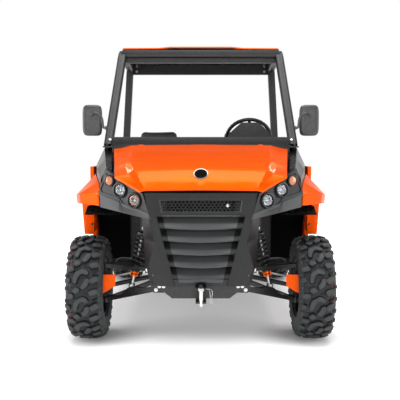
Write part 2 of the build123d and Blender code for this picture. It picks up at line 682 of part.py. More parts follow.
def rear_arms():
    _, upper_x, upper_z, lower_x, lower_z, upper_ys, lower_ys = ARM_PIVOTS[1]
    upper = a_arm((REAR_PIN_X, REAR_AXLE_Y, UPPER_ARM_Z), upper_x, upper_z, upper_ys)
    lower = a_arm((REAR_PIN_X, REAR_AXLE_Y, LOWER_ARM_Z), lower_x, lower_z, lower_ys, 30)
    (_, _, _), (x, y, z) = REAR_SHOCK
    lower += shock_seat(x, y, (REAR_AXLE_Y + 67, REAR_AXLE_Y - 67), z - SHOCK_EYE_RISE)
    return both(upper + lower)


def skid_plate():
    nose = ruled([
        [(-250, -1440, 398), (-165, -1440, 331), (165, -1440, 331), (250, -1440, 398),
         (250, -1440, 404), (-250, -1440, 404)],
        [(-250, -1270, 398), (-165, -1270, 331), (165, -1270, 331), (250, -1270, 398),
         (250, -1270, 404), (-250, -1270, 404)],
    ])
    belly = block(-184, 184, -1270, B_PILLAR_Y - 40, RAIL_Z0 - 6, RAIL_Z0)
    return nose + belly


def tow_clevis():
    shape = block(-30, 30, FRONT_END_Y + 2, -1446, 398, 408)
    shape += block(-30, 30, FRONT_END_Y + 2, -1446, 320, 329)
    shape += block(-30, 30, -1462, -1446, 320, 407)
    shape += rod((0, FRONT_END_Y + 22, 309), (0, FRONT_END_Y + 22, 424), 11)
    shape += rod((0, FRONT_END_Y + 18, 407), (0, FRONT_END_Y + 18, 414), 18)
    return shape


def front_drive():
    """Differential and its two half-shafts, each ending in a round joint on the kingpin axis."""
    shape = block(-135, 135, -1150, -965, 366, 476)
    shaft = rod((118, FRONT_AXLE_Y, 428), (KINGPIN_X, FRONT_AXLE_Y, AXLE_Z), 14)
    shaft += Pos(KINGPIN_X, FRONT_AXLE_Y, AXLE_Z) * Sphere(34)
    boot = rod((120, FRONT_AXLE_Y, 428), (190, FRONT_AXLE_Y, 413), 32)
    shaft += boot - block(118, 200, -1100, -980, 300, 396)
    return shape + both(shaft)


def rear_drive():
    shape = block(-135, 135, REAR_AXLE_Y - 110, REAR_AXLE_Y + 110, 330, 500)
    shaft = rod((118, REAR_AXLE_Y, 430), (REAR_PIN_X, REAR_AXLE_Y, AXLE_Z), 14)
    shaft += Pos(REAR_PIN_X, REAR_AXLE_Y, AXLE_Z) * Sphere(34)
    return shape + both(shaft)


def engine():
    return block(-230, 230, B_PILLAR_Y - 380, B_PILLAR_Y + 20, RAIL_Z1, 612)


def radiator():
    return block(-180, 180, -1396, -1350, 462, 800)


def exhaust():
    y = REAR_AXLE_Y + 280
    can = rod((-190, y, 540), (190, y, 540), 62)
    can += both(along_x([(y - 5, 585), (y + 21, 585), (y + 100, 640), (y + 72, 640)], 140, 150))
    return can + bent_tube([(120, y + 10, 520), (120, y + 90, 520), (120, y + 134, 508)], 20, 60)


RACK_Y, RACK_Z, RACK_R = FRONT_AXLE_Y + 115, 417, 12
RACK_HALF = 234


def steering_rack():
    shape = rod((-RACK_HALF, RACK_Y, RACK_Z), (RACK_HALF, RACK_Y, RACK_Z), 22)
    shape += both(block(RAIL_X0 + 5, RAIL_X1 - 5, RACK_Y - 24, RACK_Y + 24, RAIL_Z1, RACK_Z))
    reach = RACK_HALF + 1
    return shape - rod((-reach, RACK_Y, RACK_Z), (reach, RACK_Y, RACK_Z), RACK_R + RUNNING_GAP)


def tie_rods():
    shape = rod((-310, RACK_Y, RACK_Z), (310, RACK_Y, RACK_Z), RACK_R)
    link = rod((320, RACK_Y, RACK_Z), (KINGPIN_X, RACK_Y, AXLE_Z + 37), 9)
    eye = rod((KINGPIN_X, RACK_Y, AXLE_Z + 25), (KINGPIN_X, RACK_Y, AXLE_Z + 49), 15)
    ball = rod((300, RACK_Y, RACK_Z), (336, RACK_Y, RACK_Z - 3), 16)
    return shape + both(link + eye + ball)


# route of a brake line from the tee on the front drive to its clip on the upper arm
BRAKE_ROUTE = [
    (118, -1040, 476), (118, -1040, 514), (330, -1040, 522), (538, -1007, 514),
    (538, -1007, UPPER_ARM_Z + 13.9),
]
BRAKE_LINE_R = 4


def brake_lines():
    return both(bent_tube(BRAKE_ROUTE, BRAKE_LINE_R, 14))


# ---------------------------------------------------------------- cabin
def floor_pan():
    shape = block(-CABIN_HALF, CABIN_HALF, -598, B_PILLAR_Y - 500, FLOOR_Z, FLOOR_Z + 8)
    shape += block(-CABIN_HALF, CABIN_HALF, -598, -590, FLOOR_Z, 955)
    shape += both(block(CABIN_HALF, 700, -598, B_PILLAR_Y - 40, FLOOR_Z, FLOOR_Z + 32))
    y0, y1 = B_PILLAR_Y - 540, B_PILLAR_Y - 40
    shape += both(block(CABIN_HALF - 10, CABIN_HALF, y0, y1, FLOOR_Z, FLOOR_Z + 32))
    return shape


def seat_box():
    y0, y1 = B_PILLAR_Y - 538, B_PILLAR_Y - 60
    back_y = B_PILLAR_Y + 28
    shape = block(-CABIN_HALF + 12, CABIN_HALF - 12, y0, y1, FLOOR_Z + 8, SEAT_Z - 0.3)
    shape -= block(-CABIN_HALF + 24, CABIN_HALF - 24, y0 + 12, y1 + 1, FLOOR_Z, SEAT_Z - 12)
    # panel that closes the cabin behind the seats
    shape += block(-575, 575, back_y, back_y + 10, 430, 1150)
    shape += block(-575, 575, y1 - 10, back_y + 10, SEAT_Z - 12, SEAT_Z - 0.3)
    return shape


def seat_cushions():
    cushion = block(105, 600, B_PILLAR_Y - 520, B_PILLAR_Y - 90, SEAT_Z, SEAT_Z + 120)
    return both(fillet(cushion.edges(), 26))


def seat_backs():
    y = B_PILLAR_Y
    foot_z = SEAT_Z + 120.3
    back = along_x([(y - 165, foot_z), (y - 82, foot_z), (y - 40, 900), (y + 12, 1150), (y + 12, 1236),
                    (y - 56, 1236), (y - 84, 1150)], 110, 578)
    head = along_x([(y - 56, 1232), (y + 10, 1232), (y + 16, 1326), (y - 2, 1348), (y - 36, 1348),
                    (y - 54, 1326)], 190, 520)
    return both(back + head)


def cowl(trims, cage):
    shape = along_x([(-756, 1150), (-756, 1225), (-735, 1268), (-692, 1268), (-692, 1150)], -589, 589)
    return largest(shape + bonnet_ears() - trims - cage)


# hood over the instruments: half width and height of its corners, and how far it narrows backwards
HOOD_X = 350
HOOD_OUTLINE = [(172, 1225), (154, 1274), (131, 1316), (62, 1377)]
HOOD_STATIONS = [(-440, 1.0), (-345, 0.9)]


def dashboard():
    outer = [(-692, 1267), (-520, 1262), (-440, 1232), (-420, 1120), (-450, 1000), (-500, 960), (-692, 960)]
    inner = [(-680, 1255), (-524, 1250), (-450, 1224), (-432, 1120), (-460, 1006), (-504, 950), (-680, 950)]
    shape = along_x(outer, -580, 580) - along_x(inner, -570, 570)
    hood = []
    for y, spread in HOOD_STATIONS:
        right = [(reach * spread, z) for reach, z in HOOD_OUTLINE]
        left = [(-x, z) for x, z in reversed(right)]
        hood.append([(HOOD_X + x, y, z) for x, z in right + left])
    shape += ruled(hood)
    return shape - rod(COLUMN_START, COLUMN_END, COLUMN_R)


def steering_column():
    shape = rod(COLUMN_START, COLUMN_END, COLUMN_R)
    return shape - rod(WHEEL_CENTRE, on_column(130), 12 + RUNNING_GAP)


def steering_wheel():
    x, y, z = WHEEL_CENTRE
    tilt = Pos(x, y, z) * Rot(X=COLUMN_TILT - 90)
    shape = Torus(STEERING_R - 14, 14)
    shape += Cylinder(44, 26)
    for angle in (0, 90, 180):
        shape += Rot(Z=angle) * (Pos(STEERING_R / 2 - 8, 0, 0) * Box(STEERING_R - 30, 34, 8))
    shape += Pos(0, 0, -66) * Cylinder(12, 108)
    return tilt * shape


def roll_cage():
    side = profile_tube([PILLAR_FOOT, ROOF_FRONT, ROOF_REAR], 90)
    side += block(580, 654, -735, -548, 1198, 1208)
    side += block(600, 640, -588, -548, FLOOR_Z + 8, 1200)
    b_top = (598, B_PILLAR_Y, 1880)
    side += bar((640, B_PILLAR_Y, RAIL_Z1), (640, B_PILLAR_Y, 1152), 102, 50)
    pillar = bar(PILLAR_B_LOW, b_top, 102, 50)
    # long pocket in the front of the pillar, on its inner half
    for x_shift, y_shift, width in ((-22, -25, 40), (22, 25, 40)):
        low = (PILLAR_B_LOW[0] + x_shift, B_PILLAR_Y + y_shift, 1190)
        high = (b_top[0] + x_shift, B_PILLAR_Y + y_shift, 1840)
        pillar -= bar(low, high, width, 14)
    side += pillar
    shape = both(side)
    beam = Plane(origin=(-ROOF_FRONT[0], ROOF_FRONT[1], ROOF_FRONT[2]), x_dir=(0, 1, 0), z_dir=(1, 0, 0))
    shape += extrude(beam * profile_section(), amount=2 * ROOF_FRONT[0])
    visor = block(-545, 545, -298, -262, 1813, 1850)
    for z in (1823, 1836):
        visor -= block(-546, 546, -299, -295, z, z + 4)
    shape += visor
    shape += block(-600, 600, B_PILLAR_Y - 20, B_PILLAR_Y + 20, 1824, 1904)
    # pads that carry the roof
    for y0, reach in ((-304, 560), (B_PILLAR_Y - 440, 590), (B_PILLAR_Y - 15, 590)):
        shape += both(block(540, reach, y0, y0 + 28, 1876, 1912))
    return shape - roof()


ROOF_STATIONS = [
    # y, edge half width, edge z, foot of the raised middle, its z, top half width, top z
    (-318, 560, 1906, 300, 1908, 222, 1918),
    (-180, 585, 1907, 308, 1914, 228, 1936),
    (B_PILLAR_Y - 140, 615, 1907, 308, 1914, 228, 1936),
    (B_PILLAR_Y + 50, 620, 1906, 300, 1910, 222, 1922),
]


# raised ribs along the middle of the roof: distance from the centre plane
ROOF_RIBS = (52, 148)


def roof():
    sections = []
    for y, edge, edge_z, foot, foot_z, top, top_z in ROOF_STATIONS:
        upper = [(-edge, edge_z + 10), (-foot, foot_z + 10), (-top, top_z + 8), (top, top_z + 8),
                 (foot, foot_z + 10), (edge, edge_z + 10)]
        lower = [(x, z - 10) for x, z in reversed(upper)]
        sections.append([(x, y, z) for x, z in upper + lower])
    shape = ruled(sections)
    top_z = ROOF_STATIONS[1][6] + 8
    for x in ROOF_RIBS:
        rib = along_y([(x - 20, top_z - 2), (x - 13, top_z + 5), (x + 13, top_z + 5), (x + 20, top_z - 2)],
                      ROOF_STATIONS[1][0] + 30, ROOF_STATIONS[2][0] - 30)
        shape += both(rib)
    return shape


MIRROR_CENTRE = (742, -606, 1384)


def mirrors(cage):
    x, y, z = MIRROR_CENTRE
    head = Pos(x, y, z) * Box(133, 34, 212)
    head = fillet(head.edges().filter_by(Axis.Y), 28)
    route = [(636, -640, 1331), (664, -640, 1334), (668, -640, 1396), (720, -640, 1436), (742, -640, 1424)]
    arm = bent_tube(route, 8, 12)
    arm += rod((742, -640, 1424), (742, -620, 1424), 12)
    arm += rod((652, -652, 1331), (652, -600, 1331), 14)
    return both(head + arm) - cage


# ---------------------------------------------------------------- doors, rear wings, bed
DOOR_HINGE_X, DOOR_HINGE_Y = DOOR_OUT_X + 1, DOOR_Y0 - 5
DOOR_HINGE_ZS = (520, 960)
DOOR_SINK = 5
DOOR_PIN_R = 4
HINGE_HEIGHT = 40


def door_axis(z0, z1, radius):
    """A round bar on the axis of the door's hinges."""
    return rod((DOOR_HINGE_X, DOOR_HINGE_Y, z0), (DOOR_HINGE_X, DOOR_HINGE_Y, z1), radius)


def door():
    y1 = DOOR_Y1
    outline = [(DOOR_Y0, 440), (DOOR_Y0, 1072), (-440, 1076), (-200, 1000), (y1 - 90, 900), (y1, 880),
               (y1, 520), (y1 - 70, 440)]
    shape = along_x(outline, DOOR_OUT_X - DOOR_THICK, DOOR_OUT_X)
    # sunk field of the outer skin, with a crease across it, and the cup of the latch
    field = [(DOOR_Y0 + 60, 500), (DOOR_Y0 + 60, 700), (-190, 742), (y1 - 60, 700), (y1 - 60, 560),
             (y1 - 110, 500)]
    shape -= along_x(field, DOOR_OUT_X - DOOR_SINK, DOOR_OUT_X + 1)
    upper_field = [(DOOR_Y0 + 60, 760), (DOOR_Y0 + 60, 1010), (-420, 1012), (-230, 950), (-120, 915),
                   (-190, 790)]
    shape -= along_x(upper_field, DOOR_OUT_X - DOOR_SINK, DOOR_OUT_X + 1)
    shape -= block(DOOR_OUT_X - 12, DOOR_OUT_X + 1, y1 - 150, y1 - 50, 792, 842)
    for z in DOOR_HINGE_ZS:
        top = z + HINGE_HEIGHT
        shape -= door_axis(z - 14, top + 14, 13)
        shape += door_axis(z, top, 7)
        shape += block(DOOR_OUT_X - 4, DOOR_OUT_X + 3, DOOR_HINGE_Y, DOOR_Y0 + 26, z, top)
        shape -= door_axis(z - 14, top + 14, DOOR_PIN_R + RUNNING_GAP)
    return shape


def door_hinge_ears():
    """Two ears above and below each barrel of the door, and the pin through them."""
    ears = None
    for z in DOOR_HINGE_ZS:
        top = z + HINGE_HEIGHT
        ear = door_axis(z - 10, top + 10, DOOR_PIN_R)
        for z0 in (z - 10, top + 2):
            ear += block(DOOR_OUT_X - 6, DOOR_OUT_X + 7, DOOR_HINGE_Y - 12, DOOR_HINGE_Y + 5, z0, z0 + 8)
        ears = ear if ears is None else ears + ear
    return ears


ARCH_R = TYRE_RADIUS + 77
ARCH_WALL = 12


def rear_fenders():
    def arc(radius, angles):
        turns = [math.radians(angle) for angle in angles]
        return [(REAR_AXLE_Y + radius * math.cos(a), AXLE_Z + radius * math.sin(a)) for a in turns]

    there, back = range(12, 169, 12), range(168, 11, -12)
    shape = along_x(arc(ARCH_R, there) + arc(ARCH_R + ARCH_WALL, back), 520, 800)
    # flare that stands out round the arch
    shape += along_x(arc(ARCH_R - 8, there) + arc(ARCH_R + 34, back), 786, 800)
    panel = block(712, DOOR_OUT_X, DOOR_Y1 + 16, B_PILLAR_Y + 40, 440, 780)
    wheel_space = rod((700, REAR_AXLE_Y, AXLE_Z), (800, REAR_AXLE_Y, AXLE_Z), ARCH_R + 11)
    rear_y = REAR_AXLE_Y + 404
    side = along_x([(B_PILLAR_Y, 560), (B_PILLAR_Y, 780), (rear_y, 780), (rear_y, 560)], 712, DOOR_OUT_X)
    side -= wheel_space
    flange = block(691, 712, B_PILLAR_Y - 20, B_PILLAR_Y + 20, 470, 770)
    return both(shape + panel + side + flange)


BED_RIBS = 5
BED_RIB = (8, 40)
BED_RAIL = 34


def cargo_bed():
    shape = block(-BED_HALF, BED_HALF, BED_Y0, BED_Y1, BED_FLOOR_Z, BED_FLOOR_Z + 8)
    for x in (-BED_HALF, BED_HALF - BED_WALL):
        shape += block(x, x + BED_WALL, BED_Y0, BED_Y1, BED_FLOOR_Z, BED_TOP_Z)
    shape += block(-BED_HALF, BED_HALF, BED_Y0, BED_Y0 + BED_WALL, BED_FLOOR_Z, BED_TOP_Z)
    # upright ribs and a rail along the top, outside both walls
    proud, rib_width = BED_RIB
    side = block(BED_HALF - 2, BED_HALF + proud, BED_Y0, BED_Y1, BED_TOP_Z - BED_RAIL, BED_TOP_Z)
    side += block(BED_HALF - 2, BED_HALF + proud, BED_Y0, BED_Y1, BED_FLOOR_Z, BED_FLOOR_Z + 26)
    for number in range(BED_RIBS):
        y = BED_Y0 + number * (BED_Y1 - BED_Y0 - rib_width) / (BED_RIBS - 1)
        side += block(BED_HALF - 2, BED_HALF + proud, y, y + rib_width, BED_FLOOR_Z, BED_TOP_Z - BED_RAIL + 2)
    rail_y0, rail_y1 = B_PILLAR_Y + 100, BED_HINGE_Y - 45
    stringer = block(UPPER_RAIL_X - 14, UPPER_RAIL_X + 14, rail_y0, rail_y1, 690, BED_FLOOR_Z + 4)
    shock_y = REAR_SHOCK[0][1]
    stringer -= block(200, 400, shock_y - 42, shock_y + 42, 600, 750)
    hinge = (UPPER_RAIL_X, BED_HINGE_Y, BED_HINGE_Z)
    ear = block(UPPER_RAIL_X - 10, UPPER_RAIL_X + 10, BED_HINGE_Y - 18, BED_HINGE_Y + 18,
                702, BED_FLOOR_Z + 4)
    pin = rod((hinge[0] - 30, *hinge[1:]), (hinge[0] + 30, *hinge[1:]), BED_PIN_R)
    x = TAILGATE_HINGE_X
    gate_ear = block(x - 6, x + 6, BED_Y1 - 20, TAILGATE_HINGE_Y + 6, BED_FLOOR_Z + 1, BED_FLOOR_Z + 14)
    gate_pin = tailgate_axis(x - 24, x + 24, TAILGATE_PIN_R)
    return shape + both(side + stringer + ear + pin + gate_ear + gate_pin)


TAILGATE_Y0, TAILGATE_Y1 = BED_Y1 + 6, BED_Y1 + 28
TAILGATE_HINGE_Y, TAILGATE_HINGE_Z = BED_Y1 + 17, BED_FLOOR_Z + 8
TAILGATE_HINGE_X = 420
TAILGATE_PIN_R = 5


def tailgate_axis(x0, x1, radius):
    """A round bar on the axis of the tailgate's hinges."""
    return rod((x0, TAILGATE_HINGE_Y, TAILGATE_HINGE_Z), (x1, TAILGATE_HINGE_Y, TAILGATE_HINGE_Z), radius)


def tailgate():
    shape = block(-BED_HALF, BED_HALF, TAILGATE_Y0, TAILGATE_Y1, BED_FLOOR_Z + 3, BED_TOP_Z)
    # two sunk fields in the outer face, and the cup of the handle between them
    for x0, x1 in ((-BED_HALF + 60, -90), (90, BED_HALF - 60)):
        shape -= block(x0, x1, TAILGATE_Y1 - 8, TAILGATE_Y1 + 1, BED_FLOOR_Z + 60, BED_TOP_Z - 50)
    shape -= block(-60, 60, TAILGATE_Y1 - 14, TAILGATE_Y1 + 1, BED_TOP_Z - 110, BED_TOP_Z - 55)
    x = TAILGATE_HINGE_X
    cut = block(x - 10, x + 10, TAILGATE_Y0 - 1, TAILGATE_Y1 + 1, BED_FLOOR_Z, BED_FLOOR_Z + 22)
    cut += tailgate_axis(x - 26, x + 26, TAILGATE_PIN_R + RUNNING_GAP)
    return shape - both(cut)


def tail_lamps():
    return both(block(600, 690, REAR_AXLE_Y + 404, REAR_AXLE_Y + 420, 600, 680))


HITCH_PIN_R = 10
HITCH_Z0, HITCH_Z1 = 380, 390


def rear_hitch():
    """Drawbar under the rear crossmember, with a round end and a hole for a tow ball or pin."""
    y0 = REAR_AXLE_Y + 390
    shape = block(-32, 32, y0, REAR_END_Y - 32, HITCH_Z0, HITCH_Z1)
    shape += rod((0, REAR_END_Y - 32, HITCH_Z0), (0, REAR_END_Y - 32, HITCH_Z1), 32)
    shape += block(-32, 32, y0, y0 + 12, HITCH_Z1, 430)
    shape += both(block(26, 32, y0 + 10, y0 + 70, HITCH_Z1 - 2, 428))
    return shape - rod((0, REAR_END_Y - 32, HITCH_Z0 - 1), (0, REAR_END_Y - 32, HITCH_Z1 + 1), HITCH_PIN_R)


def rear_panel():
    return block(-712, 712, REAR_AXLE_Y + 390, REAR_AXLE_Y + 404, 560, 690)


# ---------------------------------------------------------------- write the nodes
front_wheel = (FRONT_WHEEL_X, FRONT_AXLE_Y, AXLE_Z)
rear_wheel = (REAR_WHEEL_X, REAR_AXLE_Y, AXLE_Z)
bumper = front_bumper()
cage = roll_cage()
trims = cowl_sides()

front_tyre = tyre(FRONT_TYRE_WIDTH, front_wheel)
rear_tyre = tyre(REAR_TYRE_WIDTH, rear_wheel)
# places of hub, stub and brake disc along the axle, from the middle of the wheel
front_rim = rim(FRONT_TYRE_WIDTH, front_wheel, 662 - FRONT_WHEEL_X, 640 - FRONT_WHEEL_X, 664 - FRONT_WHEEL_X)
rear_rim = rim(REAR_TYRE_WIDTH, rear_wheel, 622 - REAR_WHEEL_X, 600 - REAR_WHEEL_X, 624 - REAR_WHEEL_X)
front_knuckle = knuckle(KINGPIN_X, FRONT_AXLE_Y, True)
rear_knuckle = knuckle(REAR_PIN_X, REAR_AXLE_Y, False)
guard = knuckle_guard()
guard -= front_knuckle

nodes = {
    "chassis_frame": largest(chassis_frame() - bumper),
    "skid_plate": skid_plate(),
    "front_bumper": bumper,
    "grille_mesh": grille_mesh(),
    "radiator": radiator(),
    "tow_clevis": tow_clevis(),
    "headlamp_panels": headlamp_panels(bumper),
    "headlamps": headlamps(bumper),
    "headlamp_lenses": headlamp_lenses(),
    "indicators": indicators(),
    "front_fenders": front_fenders(),
    "cowl_sides": trims,
    "arch_liners": arch_liners(),
    "cowl": cowl(trims, cage),
    "dashboard": dashboard(),
    "steering_column": steering_column(),
    "floor_pan": floor_pan(),
    "seat_box": seat_box(),
    "seat_cushions": seat_cushions(),
    "seat_backs": seat_backs(),
    "roll_cage": cage,
    "roof": roof(),
    "mirrors": mirrors(cage),
    "rear_fenders": rear_fenders(),
    "rear_panel": rear_panel(),
    "tail_lamps": tail_lamps(),
    "front_arms": front_arms(),
    "rear_arms": rear_arms(),
    "front_shocks": both(shock(*FRONT_SHOCK)),
    "rear_shocks": both(shock(*REAR_SHOCK)),
    "rear_knuckles": both(rear_knuckle),
    "brake_lines": brake_lines(),
    "front_drive": front_drive(),
    "rear_drive": rear_drive(),
    "engine": engine(),
    "exhaust": exhaust(),
    "steering_rack": steering_rack(),
    "rear_hitch": rear_hitch(),
    "bonnet": bonnet(),
    "steering_wheel": steering_wheel(),
    "tie_rods": tie_rods(),
    "cargo_bed": cargo_bed(),
    "tailgate": tailgate(),
    "knuckle_left": front_knuckle,
    "knuckle_right": other_side(front_knuckle),
    "knuckle_guard_left": guard,
    "knuckle_guard_right": other_side(guard),
    "tyre_front_left": front_tyre,
    "tyre_front_right": other_side(front_tyre),
    "tyre_rear_left": rear_tyre,
    "tyre_rear_right": other_side(rear_tyre),
    "rim_front_left": front_rim,
    "rim_front_right": other_side(front_rim),
    "rim_rear_left": rear_rim,
    "rim_rear_right": other_side(rear_rim),
    "door_left": door(),
    "door_right": other_side(door()),
}

os.makedirs("parts", exist_ok=True)
for name, shape in nodes.items():
    export_step(shape, f"parts/{name}.step")
print(len(nodes), "nodes")
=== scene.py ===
"""Looks of a two-seat side by side utility vehicle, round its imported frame. Metres, +Z up, front at -Y."""

import json
import math

import bmesh
import bpy
import numpy as np
from bpy.props import FloatProperty, FloatVectorProperty, IntProperty, PointerProperty
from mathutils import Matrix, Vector
from mathutils.bvhtree import BVHTree

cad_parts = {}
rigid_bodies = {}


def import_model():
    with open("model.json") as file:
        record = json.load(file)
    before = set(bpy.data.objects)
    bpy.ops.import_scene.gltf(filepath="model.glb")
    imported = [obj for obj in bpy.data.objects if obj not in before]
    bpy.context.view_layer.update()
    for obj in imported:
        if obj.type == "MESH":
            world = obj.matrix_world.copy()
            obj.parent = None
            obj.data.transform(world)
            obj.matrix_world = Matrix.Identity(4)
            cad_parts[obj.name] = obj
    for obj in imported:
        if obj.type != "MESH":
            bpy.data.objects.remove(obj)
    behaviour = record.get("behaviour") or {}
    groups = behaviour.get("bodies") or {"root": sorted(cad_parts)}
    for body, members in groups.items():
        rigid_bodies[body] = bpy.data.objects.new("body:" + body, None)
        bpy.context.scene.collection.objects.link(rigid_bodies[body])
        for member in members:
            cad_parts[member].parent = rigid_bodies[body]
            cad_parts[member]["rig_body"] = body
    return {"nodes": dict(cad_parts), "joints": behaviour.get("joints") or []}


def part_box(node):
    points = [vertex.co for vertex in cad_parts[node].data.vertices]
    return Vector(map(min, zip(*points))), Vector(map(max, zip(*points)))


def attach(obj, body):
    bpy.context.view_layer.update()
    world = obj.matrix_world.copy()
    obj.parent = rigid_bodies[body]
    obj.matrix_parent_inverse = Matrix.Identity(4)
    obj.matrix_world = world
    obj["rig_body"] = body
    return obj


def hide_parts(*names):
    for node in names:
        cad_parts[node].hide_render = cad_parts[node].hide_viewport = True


bl_info = {
    "name": "Side by side utility vehicle",
    "version": (1, 0, 0),
    "blender": (4, 5, 0),
    "location": "View3D > Sidebar > Vehicle",
    "description": "Panels, tyres, springs, lamps, seats and finishes of a side by side utility vehicle",
    "category": "Object",
}

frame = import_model()
NODES = frame["nodes"]
JOINT_AT = {joint["name"]: joint.get("pos_m") for joint in frame["joints"]}
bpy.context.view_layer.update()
SIDES = (("left", 1.0), ("right", -1.0))
LEFTWARDS, BACKWARDS, FORWARDS, UPWARDS = (1.0, 0.0, 0.0), (0.0, 1.0, 0.0), (0.0, -1.0, 0.0), (0.0, 0.0, 1.0)


# ---------------------------------------------------------------- sizes and colours a user may change
class VehicleColours(bpy.types.PropertyGroup):
    """Colours of the finishes, as linear values."""

    paint: FloatVectorProperty(name="Paint", description="Colour of the painted panels",
                               subtype="COLOR", size=3, min=0, max=1, default=(1.0, 0.108, 0.0012))
    plastic: FloatVectorProperty(name="Plastic", description="Colour of the moulded trim",
                                 subtype="COLOR", size=3, min=0, max=1, default=(0.0075, 0.0078, 0.0082))
    steel: FloatVectorProperty(name="Coated steel", description="Colour of bumper, cage and bed",
                               subtype="COLOR", size=3, min=0, max=1, default=(0.0085, 0.0088, 0.0092))
    rubber: FloatVectorProperty(name="Rubber", description="Colour of the tyres",
                                subtype="COLOR", size=3, min=0, max=1, default=(0.072, 0.077, 0.080))
    vinyl: FloatVectorProperty(name="Vinyl", description="Colour of the seat covers",
                               subtype="COLOR", size=3, min=0, max=1, default=(0.022, 0.022, 0.024))
    floor: FloatVectorProperty(name="Floor", description="Colour of the studio floor",
                               subtype="COLOR", size=3, min=0, max=1, default=(0.80, 0.80, 0.80))


class VehicleSizes(bpy.types.PropertyGroup):
    """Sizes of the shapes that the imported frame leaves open."""

    lug_height: FloatProperty(name="Lug height", description="Height of the tread lugs over the carcass",
                              default=0.021, min=0.005, max=0.03, unit="LENGTH")
    pitches: IntProperty(name="Tread repeats", description="How often the tread pattern repeats round a tyre",
                         default=12, min=8, max=24)
    spring_wire: FloatProperty(name="Spring wire", description="Radius of the wire of the coil springs",
                               default=0.0062, min=0.003, max=0.01, unit="LENGTH")
    swell: FloatProperty(name="Cushion swell", description="How far a cover may move as its pad swells",
                         default=0.024, min=0.0, max=0.05, unit="LENGTH")


# ---------------------------------------------------------------- finishes
class Value:
    """A number that runs through a finish. Python's operators on it add Math nodes."""

    def __init__(self, finish, socket):
        self.finish = finish
        self.socket = socket

    def maths(self, operation, *others):
        """This value, and others, through a Math node."""
        return self.finish.add("ShaderNodeMath", {"operation": operation}, dict(enumerate((self, *others))))

    def __add__(self, other):
        return self.maths("ADD", other)

    def __mul__(self, other):
        return self.maths("MULTIPLY", other)

    def __sub__(self, other):
        return self.maths("SUBTRACT", other)

    def __truediv__(self, other):
        return self.maths("DIVIDE", other)

    def __pow__(self, other):
        return self.maths("POWER", other)

    def __gt__(self, other):
        return self.maths("GREATER_THAN", other)

    def __lt__(self, other):
        return self.maths("LESS_THAN", other)

    def __abs__(self):
        return self.maths("ABSOLUTE")

    def clamped(self):
        """This value, no lower than 0 and no higher than 1."""
        return self.maths("MINIMUM", 1.0).maths("MAXIMUM", 0.0)

    def step(self, low, high):
        """0 below low, 1 above high, and a smooth rise between them."""
        return self.finish.add("ShaderNodeMapRange", {"interpolation_type": "SMOOTHSTEP"},
                               {"Value": self, "From Min": low, "From Max": high})


class Nodes:
    """A node tree whose nodes are added one at a time, and the shader that they feed."""

    def __init__(self, tree, shader):
        self.tree = tree
        self.shader = tree.nodes[shader]

    def add(self, kind, settings, inputs, output=0):
        """A node of a kind, with its settings, the values or links of its sockets, and the output in use."""
        node = self.tree.nodes.new(kind)
        for name, value in settings.items():
            setattr(node, name, value)
        for key, value in inputs.items():
            if isinstance(value, Value):
                self.tree.links.new(value.socket, node.inputs[key])
            else:
                node.inputs[key].default_value = value
        return Value(self, node.outputs[output])

    def feed(self, socket, value):
        """Links a value to one of the shader's sockets."""
        self.tree.links.new(value.socket, self.shader.inputs[socket])

    def seen_directly(self):
        """1 for rays that reach the camera directly, by a reflection or through glass."""
        camera, glossy, through = (self.add("ShaderNodeLightPath", {}, {}, f"Is {kind} Ray")
                                   for kind in ("Camera", "Glossy", "Transmission"))
        return (camera + glossy + through).clamped()


FINISHES = {}


class Finish(Nodes):
    """A material, kept by its name, with the methods that its patterns need."""

    def __init__(self, name, **constants):
        self.material = bpy.data.materials.new(name)
        self.material.use_nodes = True
        super().__init__(self.material.node_tree, "Principled BSDF")
        for socket, value in constants.items():
            self.shader.inputs[socket.replace("_", " ")].default_value = value
        self.place = self.add("ShaderNodeTexCoord", {}, {}, "Object")
        FINISHES[name] = self

    def axis(self, letter):
        """One coordinate of the place on the object."""
        return self.add("ShaderNodeSeparateXYZ", {}, {"Vector": self.place}, letter)

    def noise(self, scale, detail=3.0, rough=0.55):
        """Cloudy noise of a scale, 0 to 1."""
        return self.add("ShaderNodeTexNoise", {}, {"Vector": self.place, "Scale": scale, "Detail": detail,
                                                   "Roughness": rough})

    def cells(self, scale, feature="F1"):
        """Distance to the nearest of scattered points, or with DISTANCE_TO_EDGE to the line between two."""
        return self.add("ShaderNodeTexVoronoi", {"feature": feature}, {"Vector": self.place, "Scale": scale},
                        "Distance")

    def mixed(self, factor, first, second):
        """Two colours, mixed by a factor."""
        pair = {0: factor}
        for key, colour in ((6, first), (7, second)):
            pair[key] = colour if isinstance(colour, Value) else (*colour, 1.0)
        return self.add("ShaderNodeMix", {"data_type": "RGBA"}, pair, 2)

    def mottled(self, colour, dark, light, scale, detail, low=0.3, high=0.75):
        """A colour that noise moves between a darker and a lighter share of itself."""
        share = self.noise(scale, detail).step(low, high)
        return self.mixed(share, scaled(colour, dark), scaled(colour, light))

    def pale_edged(self, share, base, colour, pale):
        """A base colour, paler by a share where the surface turns sharply outwards, broken up by noise."""
        edge = self.add("ShaderNodeNewGeometry", {}, {}, "Pointiness").step(0.52, 0.60)
        edge = edge * self.noise(60.0, 4.0).step(0.42, 0.68)
        return self.mixed(edge * share, base, lightened(colour, pale))

    def surface(self, colour, rough, relief, depth, strength):
        """Feeds the shader its colour and roughness, and a bump from a relief of a depth in metres."""
        self.feed("Base Color", colour)
        self.feed("Roughness", rough)
        self.feed("Normal", self.add("ShaderNodeBump", {}, {"Height": relief, "Distance": depth,
                                                            "Strength": strength}))


def scaled(colour, factor):
    """A colour times a factor, no channel over 1."""
    return tuple(min(1.0, channel * factor) for channel in colour)


def lightened(colour, share):
    """A colour moved a share of the way to white."""
    return tuple(channel + (1.0 - channel) * share for channel in colour)


